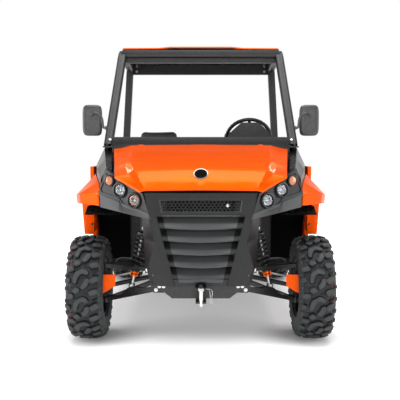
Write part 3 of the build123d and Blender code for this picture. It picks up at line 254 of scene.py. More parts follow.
def orange_paint(colour):
    """Glossy paint under clear coat, with a faint orange peel and slow changes of depth."""
    finish = Finish("orange_paint", Metallic=0.38, Specular_IOR_Level=0.06,
                    Specular_Tint=(1.0, 0.34, 0.05, 1.0), Coat_Weight=0.30, Coat_Roughness=0.05, Coat_IOR=1.28)
    dust = finish.noise(38.0, 6.0, 0.65).step(0.55, 0.85) * 0.05
    base = finish.mottled(colour, 0.94, 1.0, 2.2, 2.0, high=0.7)
    finish.surface(finish.mixed(dust, base, lightened(colour, 0.12)), finish.noise(9.0, 4.0) * 0.10 + 0.30,
                   finish.noise(210.0, 2.0), 0.00012, 0.5)


def textured_coat(name, colour, grain=900.0, rough=0.46, relief=0.00022):
    """Powder coat: a fine pebbled surface, a little lighter along sharp edges."""
    finish = Finish(name, Specular_IOR_Level=0.5)
    finish.surface(finish.pale_edged(0.35, finish.mottled(colour, 0.85, 1.25, 14.0, 5.0), colour, 0.10),
                   finish.noise(30.0, 4.0) * 0.16 + (rough - 0.08), finish.noise(grain, 3.0, 0.6), relief, 0.8)


def bumper_coat(colour, louvre_highlight):
    """Powder coat of the bumper, with smoother louvres painted paler as a painted highlight: |x| under 0.125 m
    + 0.25 (z - 0.44 m).
    """
    finish = Finish("bumper_coat", Specular_IOR_Level=0.36)
    height = finish.axis("Z")
    inside = (abs(finish.axis("X")) < (height - 0.44) * 0.25 + 0.125) * (height < 0.812) * (height > 0.43)
    # painted highlight: the louvres take the paler colour
    base = finish.mixed(inside, finish.mottled(colour, 0.85, 1.25, 14.0, 5.0), louvre_highlight)
    finish.surface(finish.pale_edged(0.35, base, colour, 0.10), finish.noise(30.0, 4.0) * 0.14 + 0.40 - inside * 0.14,
                   finish.noise(900.0, 3.0, 0.6), 0.00020, 0.7)


def panel_coat(colour, sill_highlight):
    """Dark plastic of the lamp panels with a groove of painted shade, and a lower ledge below it painted paler
    as a painted highlight: z under 0.732 m + 0.307 |x|.
    """
    finish = Finish("panel_coat", Specular_IOR_Level=0.36)
    under = abs(finish.axis("X")) * 0.307 - finish.axis("Z") + 0.732
    # painted highlight: the ledge under the groove is paler
    base = finish.mixed(under > 0.0, finish.mottled(colour, 0.9, 1.15, 8.0, 4.0, high=0.7), sill_highlight)
    # painted shade: a dark line along the groove
    base = finish.mixed(abs(under) < 0.0028, base, scaled(colour, 0.12))
    finish.surface(finish.pale_edged(0.35, base, colour, 0.10), finish.noise(18.0, 5.0) * 0.14 + 0.36,
                   finish.cells(800.0, "DISTANCE_TO_EDGE"), 0.00014, 0.6)


def moulded_plastic(name, colour, grain, rough, shine=0.5):
    """Moulded polymer with a leather-like grain of small cells."""
    finish = Finish(name, Specular_IOR_Level=shine)
    base = finish.mottled(colour, 0.9, 1.15, 6.0, 4.0, high=0.7)
    finish.surface(finish.pale_edged(0.3, base, colour, 0.08), finish.noise(18.0, 5.0) * 0.14 + (rough - 0.07),
                   finish.cells(grain, "DISTANCE_TO_EDGE") + finish.noise(grain * 0.6, 3.0) * 0.6, 0.00016, 0.7)


def tyre_rubber(colour, stripe_x):
    """Dull rubber with painted light and shade: block tops paler, block sides and the carcass between blocks
    darker, with a broken mould stripe on the shoulder.
    """
    finish = Finish("tyre_rubber", Specular_IOR_Level=0.3)
    rise = finish.add("ShaderNodeAttribute", {"attribute_name": "rise"}, {}, "Fac")
    dust = finish.noise(30.0, 6.0, 0.62).step(0.3, 0.75)
    block = finish.mixed(dust, scaled(colour, 0.82), scaled(colour, 1.18))
    # painted shade: the block sides darkest, the carcass between blocks darker than the blocks
    carcass = finish.mixed(rise.step(0.01, 0.12), scaled(colour, 0.50), scaled(colour, 0.07))
    # painted highlight: the tops of the blocks paler
    base = finish.mixed(rise.step(0.45, 0.95), carcass, block)
    off_stripe = abs(abs(finish.axis("X")) - stripe_x)
    stripe = (off_stripe < 0.0009) * finish.noise(26.0, 2.0).step(0.40, 0.52) * (rise < 0.35) * 0.85
    finish.surface(finish.mixed(stripe, base, (0.60, 0.09, 0.02)), finish.noise(45.0, 5.0) * 0.2 + 0.58,
                   finish.noise(520.0, 4.0, 0.6) + finish.noise(60.0, 3.0) * 0.8, 0.00035, 0.6)


def bare_metal(name, colour, rough):
    """Metal with fine marks."""
    finish = Finish(name, Metallic=1.0)
    marks = finish.noise(180.0, 4.0, 0.6)
    finish.surface(finish.mixed(marks.step(0.3, 0.8), scaled(colour, 0.78), colour),
                   marks * 0.2 + (rough - 0.1), marks, 0.0001, 0.4)


def cast_metal(name, colour, rough):
    """Painted casting with a coarse skin."""
    finish = Finish(name, Specular_IOR_Level=0.5)
    skin = finish.noise(240.0, 5.0, 0.6)
    finish.surface(finish.pale_edged(0.4, finish.mottled(colour, 0.8, 1.3, 12.0, 5.0, high=0.7), colour, 0.14),
                   skin * 0.2 + (rough - 0.1), skin, 0.0005, 0.6)


def clear_glass(name, colour):
    """Clear lens with faint flutes."""
    finish = Finish(name, Transmission_Weight=1.0, Coat_Weight=0.4, IOR=1.45)
    finish.surface(finish.mixed(finish.noise(40.0, 3.0) * 0.25, colour, scaled(colour, 0.85)),
                   finish.noise(60.0, 3.0) * 0.04 + 0.04, finish.noise(300.0, 1.0), 0.0001, 0.3)


def lit_lens(name, colour, rough=0.12):
    """Coloured lens whose prisms catch the light, as painted glints: each prism paler at its middle and darker
    at its edge.
    """
    finish = Finish(name, Coat_Weight=1.0, Coat_Roughness=0.04, Specular_IOR_Level=0.6)
    prisms = finish.cells(170.0)
    # painted glints: paler at the middle of each prism
    finish.surface(finish.mixed(prisms.step(0.0, 0.7), lightened(colour, 0.18), scaled(colour, 0.6)),
                   finish.noise(80.0, 2.0) * 0.08 + rough, prisms, 0.0006, 0.6)


def seat_vinyl(colour):
    """Embossed seat cover: small leather cells, and a little shine as broad patches painted paler, a painted
    sheen.
    """
    finish = Finish("seat_vinyl", Specular_IOR_Level=0.45, Sheen_Weight=0.15)
    grain = finish.cells(420.0, "DISTANCE_TO_EDGE").step(0.0, 0.18)
    broad = finish.noise(7.0, 4.0)
    base = finish.mixed(grain, scaled(colour, 0.6), colour)
    # painted sheen: broad patches a little paler
    finish.surface(finish.mixed(broad.step(0.45, 0.8) * 0.4, base, lightened(colour, 0.03)),
                   broad * 0.16 + 0.42, grain + finish.noise(900.0, 2.0) * 0.4, 0.0003, 0.6)


# name, colour, roughness
METALS = [("alloy_dark", (0.10, 0.10, 0.105), 0.34), ("zinc", (0.62, 0.62, 0.60), 0.30),
          ("lamp_bowl", (0.50, 0.52, 0.53), 0.22), ("mirror_glass", (0.34, 0.37, 0.39), 0.12),
          ("ring_nut", (0.85, 0.13, 0.01), 0.34), ("bolt_black", (0.09, 0.09, 0.095), 0.36)]
CASTINGS = [("cast_black", (0.018, 0.018, 0.019), 0.55), ("radiator_core", (0.012, 0.012, 0.013), 0.6),
            ("engine_metal", (0.12, 0.12, 0.12), 0.5)]
# name, colour, grain, roughness, and shine where it isn't 0.5
PLASTICS = [("lamp_black", (0.010, 0.010, 0.011), 1100.0, 0.28),
            # a grey that stands for black plastic under a broad reflection of the lamps: painted reflection
            ("lamp_panel", (0.052, 0.055, 0.057), 800.0, 0.36),
            # darker than the other plastics, with little shine: on the arch liners it is painted shade of the
            # wheel arches, on the badge its own black
            ("deep_black", (0.0022, 0.0022, 0.0024), 500.0, 0.75, 0.04),
            ("trim_gloss", (0.0045, 0.0046, 0.0050), 1300.0, 0.26, 0.22)]
# name, colour, and roughness where it isn't 0.12
LENSES = [("lamp_amber", (1.0, 0.27, 0.05)), ("lamp_red", (0.30, 0.002, 0.002), 0.25),
          ("dial", (0.02, 0.03, 0.035))]
# distance of the mould stripe from the widest point of a tyre
STRIPE_IN = 0.036


def make_finishes(colours):
    """One finish for each surface of the vehicle, kept by name."""
    paint, plastic, steel, rubber, vinyl = (tuple(getattr(colours, name)) for name in
                                            ("paint", "plastic", "steel", "rubber", "vinyl"))
    orange_paint(paint)
    tyre_rubber(rubber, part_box("tyre_front_left")[1].x - STRIPE_IN)
    seat_vinyl(vinyl)
    textured_coat("black_steel", steel)
    textured_coat("frame_steel", scaled(steel, 0.9), 600.0, 0.38, 0.00012)
    textured_coat("shock_parts", (0.013, 0.013, 0.014), 1500.0, 0.30, 0.00008)
    textured_coat("hose_rubber", (0.22, 0.23, 0.23), 1200.0, 0.40, 0.0002)
    # the second colour is the painted highlight of the louvres
    bumper_coat(steel, (0.066, 0.070, 0.072))
    # the second colour is the painted highlight of the ledge under the groove
    panel_coat((0.0085, 0.0092, 0.0098), (0.058, 0.061, 0.063))
    clear_glass("lamp_glass", (0.97, 0.98, 1.0))
    for make, table in ((bare_metal, METALS), (cast_metal, CASTINGS), (lit_lens, LENSES),
                        (moulded_plastic, [("black_plastic", plastic, 700.0, 0.40, 0.38), *PLASTICS])):
        for row in table:
            make(*row)


# ---------------------------------------------------------------- meshes
def finished(obj, finish, body, replaced=()):
    """Gives a piece its finish, its body and the nodes that it stands for."""
    obj.data.materials.clear()
    obj.data.materials.append(FINISHES[finish].material)
    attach(obj, body)
    if replaced:
        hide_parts(*replaced)
    return obj


def cleaned(mesh, doubles, slivers, outwards=True):
    """Merges points that are nearer than doubles, drops faces thinner than slivers, turns the rest outwards."""
    model = bmesh.new()
    model.from_mesh(mesh)
    bmesh.ops.remove_doubles(model, verts=model.verts, dist=doubles)
    bmesh.ops.dissolve_degenerate(model, edges=model.edges, dist=slivers)
    if outwards:
        bmesh.ops.recalc_face_normals(model, faces=model.faces)
    model.to_mesh(mesh)
    model.free()


def smooth_faces(mesh, sharp):
    """Smooth shading, apart from edges that turn by more than sharp degrees."""
    mesh.polygons.foreach_set("use_smooth", np.ones(len(mesh.polygons), bool))
    model = bmesh.new()
    model.from_mesh(mesh)
    for edge in model.edges:
        edge.smooth = len(edge.link_faces) == 2 and edge.calc_face_angle(0.0) < math.radians(sharp)
    model.to_mesh(mesh)
    model.free()


# a node's edge that turns by more degrees than this is rounded
ROUNDED_FROM = 32.0


def placed(name, data):
    """A new object for a mesh, lamp or camera, at the origin."""
    obj = bpy.data.objects.new(name, data)
    bpy.context.scene.collection.objects.link(obj)
    return obj


def softened(node, finish, width):
    """A merged copy of a node's mesh whose edges are rounded by a bevel of a width."""
    source = NODES[node]
    mesh = source.data.copy()
    cleaned(mesh, 1e-5, 1e-5, outwards=False)
    obj = placed(f"{node}_shell", mesh)
    smooth_faces(mesh, ROUNDED_FROM)
    bevel = obj.modifiers.new("rounding", "BEVEL")
    bevel.width = width
    bevel.segments = 2
    bevel.limit_method = "ANGLE"
    bevel.angle_limit = math.radians(ROUNDED_FROM)
    bevel.miter_outer = "MITER_ARC"
    bevel.use_clamp_overlap = True
    obj.modifiers.new("flat_shading", "WEIGHTED_NORMAL").keep_sharp = True
    return finished(obj, finish, source["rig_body"], [node])


# ---------------------------------------------------------------- surfaces as arrays
def grid(points, wrap_rows=False, wrap_columns=False):
    """Four-sided faces over a rows by columns array of points; a wrap joins the last line to the first."""
    rows, columns = points.shape[:2]
    row = np.arange(rows if wrap_rows else rows - 1)[:, None]
    column = np.arange(columns if wrap_columns else columns - 1)[None, :]
    below, beside = (row + 1) % rows, (column + 1) % columns
    corners = [row * columns + column, below * columns + column,
               below * columns + beside, row * columns + beside]
    return points.reshape(-1, 3), np.stack(np.broadcast_arrays(*corners), -1).reshape(-1, 4)


def joined(*surfaces):
    """Several surfaces as one: points end to end, faces renumbered."""
    starts = np.cumsum([0] + [len(points) for points, _ in surfaces[:-1]])
    points = np.concatenate([points for points, _ in surfaces])
    return points, np.concatenate([faces + start for start, (_, faces) in zip(starts, surfaces)])


def shifted(surface, offset):
    """A surface moved by an offset."""
    return surface[0] + np.asarray(offset, float), surface[1]


def mirrored(surface):
    """The twin across the centre plane, with its faces turned to keep pointing outwards."""
    return surface[0] * (-1.0, 1.0, 1.0), surface[1][:, ::-1]


def both_sides(surface):
    """A surface and its twin across the centre plane."""
    return joined(surface, mirrored(surface))


def for_side(side, surface):
    """A surface drawn for the left side, or its twin where the side is right."""
    return surface if side == "left" else mirrored(surface)


def axes_for(direction, up=UPWARDS):
    """Two unit vectors square to a direction and to each other, the first level if it can be."""
    direction = np.asarray(direction, float)
    direction = direction / np.linalg.norm(direction)
    up = np.asarray(up, float)
    if abs(direction @ up) > 0.98:
        up = np.array(BACKWARDS)
    across = np.cross(up, direction)
    across /= np.linalg.norm(across)
    return across, np.cross(direction, across), direction


def copies(surface, places, turns=None):
    """A surface at many places: each point p becomes turn times p plus place."""
    points, faces = surface
    places = np.asarray(places, float)
    if turns is None:
        turns = np.broadcast_to(np.eye(3), (len(places), 3, 3))
    moved = np.einsum("nij,kj->nki", np.asarray(turns, float), points) + places[:, None, :]
    starts = np.arange(len(places))[:, None, None] * len(points)
    return moved.reshape(-1, 3), (faces[None] + starts).reshape(-1, 4)


def turns_about_x(angles):
    """Turns about the X axis, one for each angle."""
    cos, sin, zero = np.cos(angles), np.sin(angles), np.zeros_like(angles)
    return np.stack([[zero + 1.0, zero, zero], [zero, cos, -sin], [zero, sin, cos]]).transpose(2, 0, 1)


def circle(angles, across, over):
    """Points at radius 1 in the plane of two unit vectors: across times cos t plus over times sin t."""
    return np.cos(angles)[..., None] * np.asarray(across) + np.sin(angles)[..., None] * np.asarray(over)


def full_turn(steps):
    """Angles at equal steps round a circle, the last one short of the first."""
    return np.linspace(0.0, 2.0 * np.pi, steps, endpoint=False)


def turned(profile, steps, centre=(0.0, 0.0, 0.0), direction=LEFTWARDS):
    """A profile of (distance, radius) turned about d: centre + distance d + radius (a cos t + b sin t)."""
    profile = np.asarray(profile, float)
    across, over, forward = axes_for(direction)
    ring = circle(full_turn(steps), across, over)
    rings = np.asarray(centre) + profile[:, None, :1] * forward + profile[:, None, 1:] * ring
    return grid(rings, wrap_columns=True)


def superellipse(steps, power):
    """Points of a rounded square: (sgn cos |cos|^(2/power), sgn sin |sin|^(2/power))."""
    round_one = circle(full_turn(steps), (1.0, 0.0), (0.0, 1.0))
    return np.sign(round_one) * np.abs(round_one) ** (2.0 / power)


def smoothed(points, passes=3):
    """Corner cutting: each pass puts points at a quarter and three quarters of every run."""
    points = np.asarray(points, float)
    for _ in range(passes):
        before, after = points[:-1], points[1:]
        cut = np.stack([0.75 * before + 0.25 * after, 0.25 * before + 0.75 * after], 1)
        points = np.concatenate([points[:1], cut.reshape(-1, points.shape[1]), points[-1:]])
    return points


def along(path, outline, scale=None, closed=False, up=UPWARDS):
    """An outline of (across, over) carried along a path, square to it; open ends close to a point."""
    path = np.asarray(path, float)
    step = (np.roll(path, -1, 0) - np.roll(path, 1, 0)) if closed else np.gradient(path, axis=0)
    step /= np.linalg.norm(step, axis=1)[:, None]
    across = np.cross(np.asarray(up, float), step)
    across /= np.linalg.norm(across, axis=1)[:, None]
    over = np.cross(step, across)
    scale = np.ones(len(path)) if scale is None else np.asarray(scale, float)
    outline = np.asarray(outline, float)
    rings = (path[:, None] + scale[:, None, None] * (outline[None, :, :1] * across[:, None]
                                                     + outline[None, :, 1:] * over[:, None]))
    if not closed:
        ends = [np.broadcast_to(path[i], rings[0].shape)[None] for i in (0, -1)]
        rings = np.concatenate([ends[0], rings, ends[1]])
    return grid(rings, wrap_rows=closed, wrap_columns=True)


def tube(path, radius, sides, up=UPWARDS):
    """A round tube of a radius along a path."""
    return along(path, superellipse(sides, 2.0) * radius, up=up)


def cube_round(corner_low, corner_high, power=6.0, steps=24):
    """A block with soft edges: rings of a superellipse whose size follows a superellipse over the height."""
    low, high = np.asarray(corner_low, float), np.asarray(corner_high, float)
    ring = superellipse(steps, power)
    height = np.sin(np.linspace(-0.5, 0.5, 13) * np.pi)
    rise = np.sign(height) * np.abs(height) ** (2.0 / power)
    size = (1.0 - np.abs(rise) ** power).clip(0.0) ** (1.0 / power)
    level = np.broadcast_to(rise[:, None, None], (len(rise), steps, 1))
    shape = np.concatenate([ring[None] * size[:, None, None], level], -1)
    return grid((low + high) / 2 + shape * (high - low) / 2, wrap_columns=True)


def bolt_head(radius, height):
    """A hexagonal head with a washer under it, along +X from the origin."""
    wide, thick = radius * 1.35, height * 0.18
    washer = [(0.0, 0.0), (0.0, wide), (thick, wide), (thick, 0.0)]
    head = [(0.0, 0.0), (0.0, radius), (height * 0.85, radius), (height, radius * 0.86), (height, 0.0)]
    return joined(turned(washer, 20), turned(head, 6))


def dome(radius, height, steps=14):
    """A rivet's head: a quarter ellipse turned about +X from the origin."""
    rise = np.linspace(0.0, np.pi / 2, 5)
    profile = np.stack([height * np.sin(rise), radius * np.cos(rise)], -1)
    return turned(np.concatenate([[(0.0, 0.0)], profile]), steps)


def turns_to(directions):
    """The turn that takes +X to each direction."""
    turns = [axes_for(direction) for direction in directions]
    return np.array([np.stack([forward, across, over], 1) for across, over, forward in turns])


def piece(name, surface, finish, body="chassis", replaced=(), sharp=35.0, rise=None):
    """A mesh object from points and faces, on a body."""
    points, faces = surface
    mesh = bpy.data.meshes.new(name)
    mesh.from_pydata(points.tolist(), [], faces.tolist())
    if rise is not None:
        mesh.attributes.new("rise", "FLOAT", "POINT").data.foreach_set("value", rise.astype(np.float32))
    cleaned(mesh, 2e-6, 1e-6)
    obj = placed(name, mesh)
    smooth_faces(mesh, sharp)
    return finished(obj, finish, body, replaced)


# ---------------------------------------------------------------- tyres
TYRE_PLACES = [(end, side) for end in ("front", "rear") for side in ("left", "right")]
# half profile of the carcass: share of the half width, radius
CARCASS = [(0.0, 0.302), (0.28, 0.301), (0.54, 0.297), (0.76, 0.289), (0.90, 0.277), (0.945, 0.258),
           (0.955, 0.238), (0.935, 0.214), (0.885, 0.198), (0.83, 0.188), (0.79, 0.1795), (0.76, 0.1785)]
# tread blocks of one repeat: centreline points as (share of the repeat, distance across in mm), half width
# at the middle in mm, height as a share of the full height
TREAD = [
    (((0.22, -28), (0.00, -8), (0.06, 44), (0.54, 42)), 15.5, 1.0),
    (((0.36, -22), (0.50, -30), (0.64, -16), (0.70, 6)), 16.0, 1.0),
    (((0.72, 48), (0.76, 40), (0.80, 30), (0.86, 22)), 18.0, 1.0),
    (((-0.02, 50), (0.00, 64), (0.00, 78), (0.02, 94)), 16.5, 1.0),
    (((0.43, 70), (0.42, 83), (0.41, 96), (0.41, 110)), 14.5, 0.96),
    (((0.92, -38), (0.88, -52), (0.84, -66), (0.82, -86)), 18.0, 1.0),
    (((0.50, -42), (0.44, -56), (0.38, -70), (0.33, -88)), 18.0, 1.0),
    (((0.20, -58), (0.18, -70), (0.14, -84), (0.12, -98)), 8.0, 0.6),
    (((0.66, -90), (0.65, -98), (0.64, -106), (0.63, -114)), 12.0, 0.9),
    (((0.14, -92), (0.13, -100), (0.12, -107), (0.11, -114)), 12.0, 0.9),
    (((0.22, 92), (0.21, 99), (0.20, 106), (0.20, 113)), 12.0, 0.9),
    (((0.72, 90), (0.71, 98), (0.70, 105), (0.70, 113)), 12.0, 0.9),
]
# thin ribs between the blocks, by their centrelines
RIB_LINES = [((0.66, 44), (0.72, 58), (0.70, 66), (0.66, 74)),
             ((0.86, -4), (0.94, -16), (0.92, -28), (0.90, -40)),
             ((0.10, 44), (0.08, 50), (0.06, 56), (0.06, 62)),
             ((0.30, -24), (0.36, -34), (0.44, -40), (0.52, -42)),
             ((1.02, 8), (1.10, 2), (1.18, -2), (1.24, -10))]
RIB_HALF_WIDTH, RIB_HEIGHT = 1.1, 0.16
RIBS = [(line, RIB_HALF_WIDTH, RIB_HEIGHT) for line in RIB_LINES]
RIB_RINGS = [(-1.5, -0.3), (-0.6, 0.3), (0.2, 0.9), (0.8, 1.0)]
# rings of a block from its foot to the groove in its top: inset in mm, share of the height
BLOCK_RINGS = [(-4.5, -0.25), (-4.2, 0.03), (-2.4, 0.17), (-0.4, 0.22), (1.0, 0.86), (2.2, 0.965), (3.6, 1.0),
               (5.4, 0.995), (6.2, 0.93), (7.2, 0.93), (8.0, 0.985), (11.0, 0.99)]
TREAD_RADIUS = 0.323
# half width of the tyre that the table is drawn for
TABLE_HALF = 0.1145
# how far from the middle the lugs start to get lower, over what distance they do, and by what share
SHOULDER_AT, SHOULDER_RUN, SHOULDER_DROP = 0.086, 0.034, 0.86
# radius, width and height of the mould lines and the rim guard on a sidewall
MOULD_LINES = [(0.226, 0.0022, 0.0016), (0.252, 0.0016, 0.0016), (0.194, 0.0045, 0.0035)]


def carcass_curve(half):
    """The carcass from one bead over the crown to the other, as (x, radius), with distances along it."""
    side = np.array(CARCASS) * (half, 1.0)
    whole = np.concatenate([side[:0:-1] * (-1.0, 1.0), side])
    curve = smoothed(whole)
    run = np.concatenate([[0.0], np.cumsum(np.linalg.norm(np.diff(curve, axis=0), axis=1))])
    return curve, run - np.interp(0.0, curve[:, 0], run)


def on_tyre(curve, run, angle, across, height):
    """The point over the carcass: its curve at a distance across, pushed out along the curve's normal."""
    slope = np.gradient(curve, axis=0)
    slope /= np.linalg.norm(slope, axis=1)[:, None]
    x = np.interp(across, run, curve[:, 0]) - np.interp(across, run, slope[:, 1]) * height
    radius = np.interp(across, run, curve[:, 1]) + np.interp(across, run, slope[:, 0]) * height
    return np.stack([x, -radius * np.cos(angle), -radius * np.sin(angle)], -1)


def tread_block(line, half_width, share, rings, unit):
    """One block: a rounded outline about a cubic curve, in rings of (place round the tyre, across, height)."""
    t = np.linspace(0.0, 1.0, 41)
    weights = np.stack([(1 - t) ** 3, 3 * t * (1 - t) ** 2, 3 * t ** 2 * (1 - t), t ** 3], -1)
    curve = weights @ line
    length = np.linalg.norm(np.diff(curve, axis=0), axis=1).sum()
    slope = np.gradient(curve, axis=0)
    slope /= np.linalg.norm(slope, axis=1)[:, None]
    sideways = slope[:, ::-1] * (-1.0, 1.0)

    def at(place, values):
        return np.stack([np.interp(place, t, column) for column in values.T], -1)

    surface = []
    for inset, level in rings:
        width = max(half_width - inset, 0.0) * 0.001
        reach = max(0.5 - inset * 0.001 / length, 0.05)
        place = np.clip(0.5 + reach * unit[:, 0], -0.06, 1.06)
        flat = at(place, curve) + at(place, sideways) * (unit[:, 1] * width)[:, None]
        surface.append(np.concatenate([flat, np.full((len(unit), 1), level * share)], -1))
    top = np.full((1, len(unit), 3), (*at(0.5, curve), rings[-1][1] * share))
    return np.concatenate([surface, top])


def tread_blocks(table, rings, half, sizes, steps):
    """The blocks of one repeat of the pattern, laid on the carcass and repeated round the tyre."""
    curve, run = carcass_curve(half)
    widen = half / TABLE_HALF
    pitch = 2.0 * np.pi * TREAD_RADIUS / sizes.pitches
    unit = superellipse(steps, 3.4)
    shapes = []
    for line, half_width, share in table:
        block = tread_block(np.array(line) * (pitch, -0.001 * widen), half_width, share, rings, unit)
        off_crown = np.clip((np.abs(block[..., 1]) - SHOULDER_AT * widen) / SHOULDER_RUN, 0.0, 1.0)
        height = block[..., 2] * sizes.lug_height * (1.0 - SHOULDER_DROP * off_crown ** 1.3)
        shapes.append(grid(on_tyre(curve, run, block[..., 0] / TREAD_RADIUS, block[..., 1], height),
                           wrap_columns=True))
    return copies(joined(*shapes), np.zeros((sizes.pitches, 3)), turns_about_x(full_turn(sizes.pitches)))


def carcass(half):
    """The carcass turned about the axle, with mould lines and a rim guard on each side, closed inside."""
    curve, _ = carcass_curve(half)
    radius = curve[:, 1]
    raised = sum(height * np.exp(-((radius - at) / width) ** 2) for at, width, height in MOULD_LINES)
    outer = np.stack([curve[:, 0] + np.sign(curve[:, 0]) * raised, radius], -1)
    inner = np.array([(outer[-1, 0] - 0.004, 0.1765), (-outer[-1, 0] + 0.004, 0.1765)])
    return turned(np.concatenate([outer, inner, outer[:1]]), 168)


def tyre(end, side, sizes):
    """Carcass and tread of one tyre, on its wheel. Rise is the height over the carcass, in lug heights."""
    node = f"tyre_{end}_{side}"
    low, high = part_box(node)
    half = (high.x - low.x) / 2
    centre = [(a + b) / 2 for a, b in zip(low, high)]
    surface = joined(carcass(half), tread_blocks(TREAD, BLOCK_RINGS, half, sizes, 30),
                     tread_blocks(RIBS, RIB_RINGS, half, sizes, 12))
    curve, _ = carcass_curve(half)
    radius = np.hypot(surface[0][:, 1], surface[0][:, 2])
    rise = (radius - np.interp(surface[0][:, 0], curve[:, 0], curve[:, 1])) / sizes.lug_height
    piece(f"{node}_tread", shifted(surface, centre), "tyre_rubber", body=f"wheel_{end}_{side}", replaced=[node],
          sharp=38.0, rise=rise.clip(0.0, 1.0))


class VEHICLE_OT_tyres(bpy.types.Operator):
    """Four tyres: carcass, curved tread blocks, shoulder blocks and mould lines"""

    bl_idname = "vehicle.tyres"
    bl_label = "Tyres"

    def execute(self, context):
        for end, side in TYRE_PLACES:
            tyre(end, side, context.scene.vehicle_sizes)
        return {"FINISHED"}


# node, finish, rounding in metres
SOFTENED = [
    ("bonnet", "orange_paint", 0.006),
    ("front_fenders", "orange_paint", 0.004),
    ("rear_fenders", "orange_paint", 0.004),
    ("door_left", "orange_paint", 0.004),
    ("door_right", "orange_paint", 0.004),
    ("roof", "orange_paint", 0.005),
    ("knuckle_guard_left", "orange_paint", 0.0015),
    ("knuckle_guard_right", "orange_paint", 0.0015),
    ("front_bumper", "bumper_coat", 0.0025),
    ("cowl_sides", "trim_gloss", 0.004),
    ("cowl", "black_plastic", 0.006),
    ("headlamp_panels", "panel_coat", 0.0025),
    # the arch liners take the darkest black as painted shade
    ("arch_liners", "deep_black", 0.002),
    ("dashboard", "black_plastic", 0.006),
    ("steering_column", "frame_steel", 0.001),
    ("floor_pan", "black_plastic", 0.002),
    ("seat_box", "black_plastic", 0.004),
    ("roll_cage", "black_steel", 0.003),
    ("rear_panel", "black_plastic", 0.003),
    ("tail_lamps", "lamp_red", 0.004),
    ("chassis_frame", "frame_steel", 0.0025),
    ("skid_plate", "frame_steel", 0.002),
    ("tow_clevis", "black_steel", 0.0015),
    ("radiator", "radiator_core", 0.002),
    ("front_arms", "frame_steel", 0.003),
    ("rear_arms", "frame_steel", 0.003),
    ("rear_knuckles", "cast_black", 0.003),
    ("knuckle_left", "cast_black", 0.003),
    ("knuckle_right", "cast_black", 0.003),
    ("front_drive", "cast_black", 0.004),
    ("rear_drive", "cast_black", 0.004),
    ("engine", "engine_metal", 0.012),
    ("exhaust", "bolt_black", 0.006),
    ("steering_rack", "cast_black", 0.003),
    ("rear_hitch", "frame_steel", 0.002),
    ("tie_rods", "zinc", 0.0015),
    ("cargo_bed", "black_steel", 0.003),
    ("tailgate", "black_steel", 0.003),
]


class VEHICLE_OT_plates(bpy.types.Operator):
    """Panels, plates, arms and frame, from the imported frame's own shapes, with rounded edges"""

    bl_idname = "vehicle.plates"
    bl_label = "Panels and plates"

    def execute(self, context):
        for node, finish, width in SOFTENED:
            softened(node, finish, width)
        return {"FINISHED"}


# ---------------------------------------------------------------- bars, stacks and coils
def beam(start, end, radius, steps=18, chamfer=0.0):
    """A round bar between two points, its ends chamfered."""
    run = np.subtract(end, start)
    length = np.linalg.norm(run)
    profile = [(0.0, 0.0), (0.0, radius - chamfer), (chamfer, radius), (length - chamfer, radius),
               (length, radius - chamfer), (length, 0.0)]
    return turned(profile, steps, start, run)


def stacked(outline, levels, origin, direction, up=UPWARDS):
    """Rings of an outline at levels of (distance along a direction, share of the outline's size)."""
    across, over, forward = axes_for(direction, up)
    levels = np.asarray(levels, float)
    outline = np.asarray(outline, float)
    flat = outline[:, :1] * across + outline[:, 1:] * over
    rings = np.asarray(origin) + levels[:, :1, None] * forward + levels[:, 1:, None] * flat
    return grid(rings, wrap_columns=True)


def coil(top, low, radius, wire, turns):
    """A helix p(t) = top + s(t) run + R (a cos + b sin), its first and last turn lying flat."""
    across, over, _ = axes_for(np.subtract(low, top))
    run = np.subtract(low, top)
    length = np.linalg.norm(run)
    turn = np.linspace(0.0, turns, int(turns * 26))
    flat = 1.9 * wire / length
    share = np.interp(turn, [0.0, 1.0, turns - 1.0, turns], [0.0, flat, 1.0 - flat, 1.0])
    path = np.asarray(top) + share[:, None] * run + radius * circle(2.0 * np.pi * turn, across, over)
    return tube(path, wire, 10, up=run / length)


def notched(radius, depth, notches, thick, origin, direction):
    """A ring nut: radius r - depth in square notches round its edge."""
    turn = full_turn(notches * 8)
    edge = radius - depth * (np.sin(turn * notches) > 0.35)
    levels = [(0.0, 0.0), (0.0, 0.95), (thick * 0.15, 1.0), (thick * 0.85, 1.0), (thick, 0.95), (thick, 0.0)]
    return stacked(edge[:, None] * circle(turn, (1.0, 0.0), (0.0, 1.0)), levels, origin, direction)


# ---------------------------------------------------------------- shock absorbers
# end, upper eye, lower eye, turns of the spring
SHOCKS = [
    ("front", (0.352, -1.092, 0.700), (0.430, -1.092, 0.3374), 8.5),
    ("rear", (0.352, 1.062, 0.680), (0.430, 1.062, 0.3306), 8.5),
]
EYE_RADIUS, EYE_HALF = 0.0155, 0.0155
# distance of an eye's bolt heads from its middle
BOLT_OFF = 0.0245
COIL_RADIUS = 0.034
# ridges of the threaded body, their pitch, and radius between and on them
RIDGES, RIDGE_PITCH, CORE, CREST = 24, 0.005, 0.0190, 0.0205


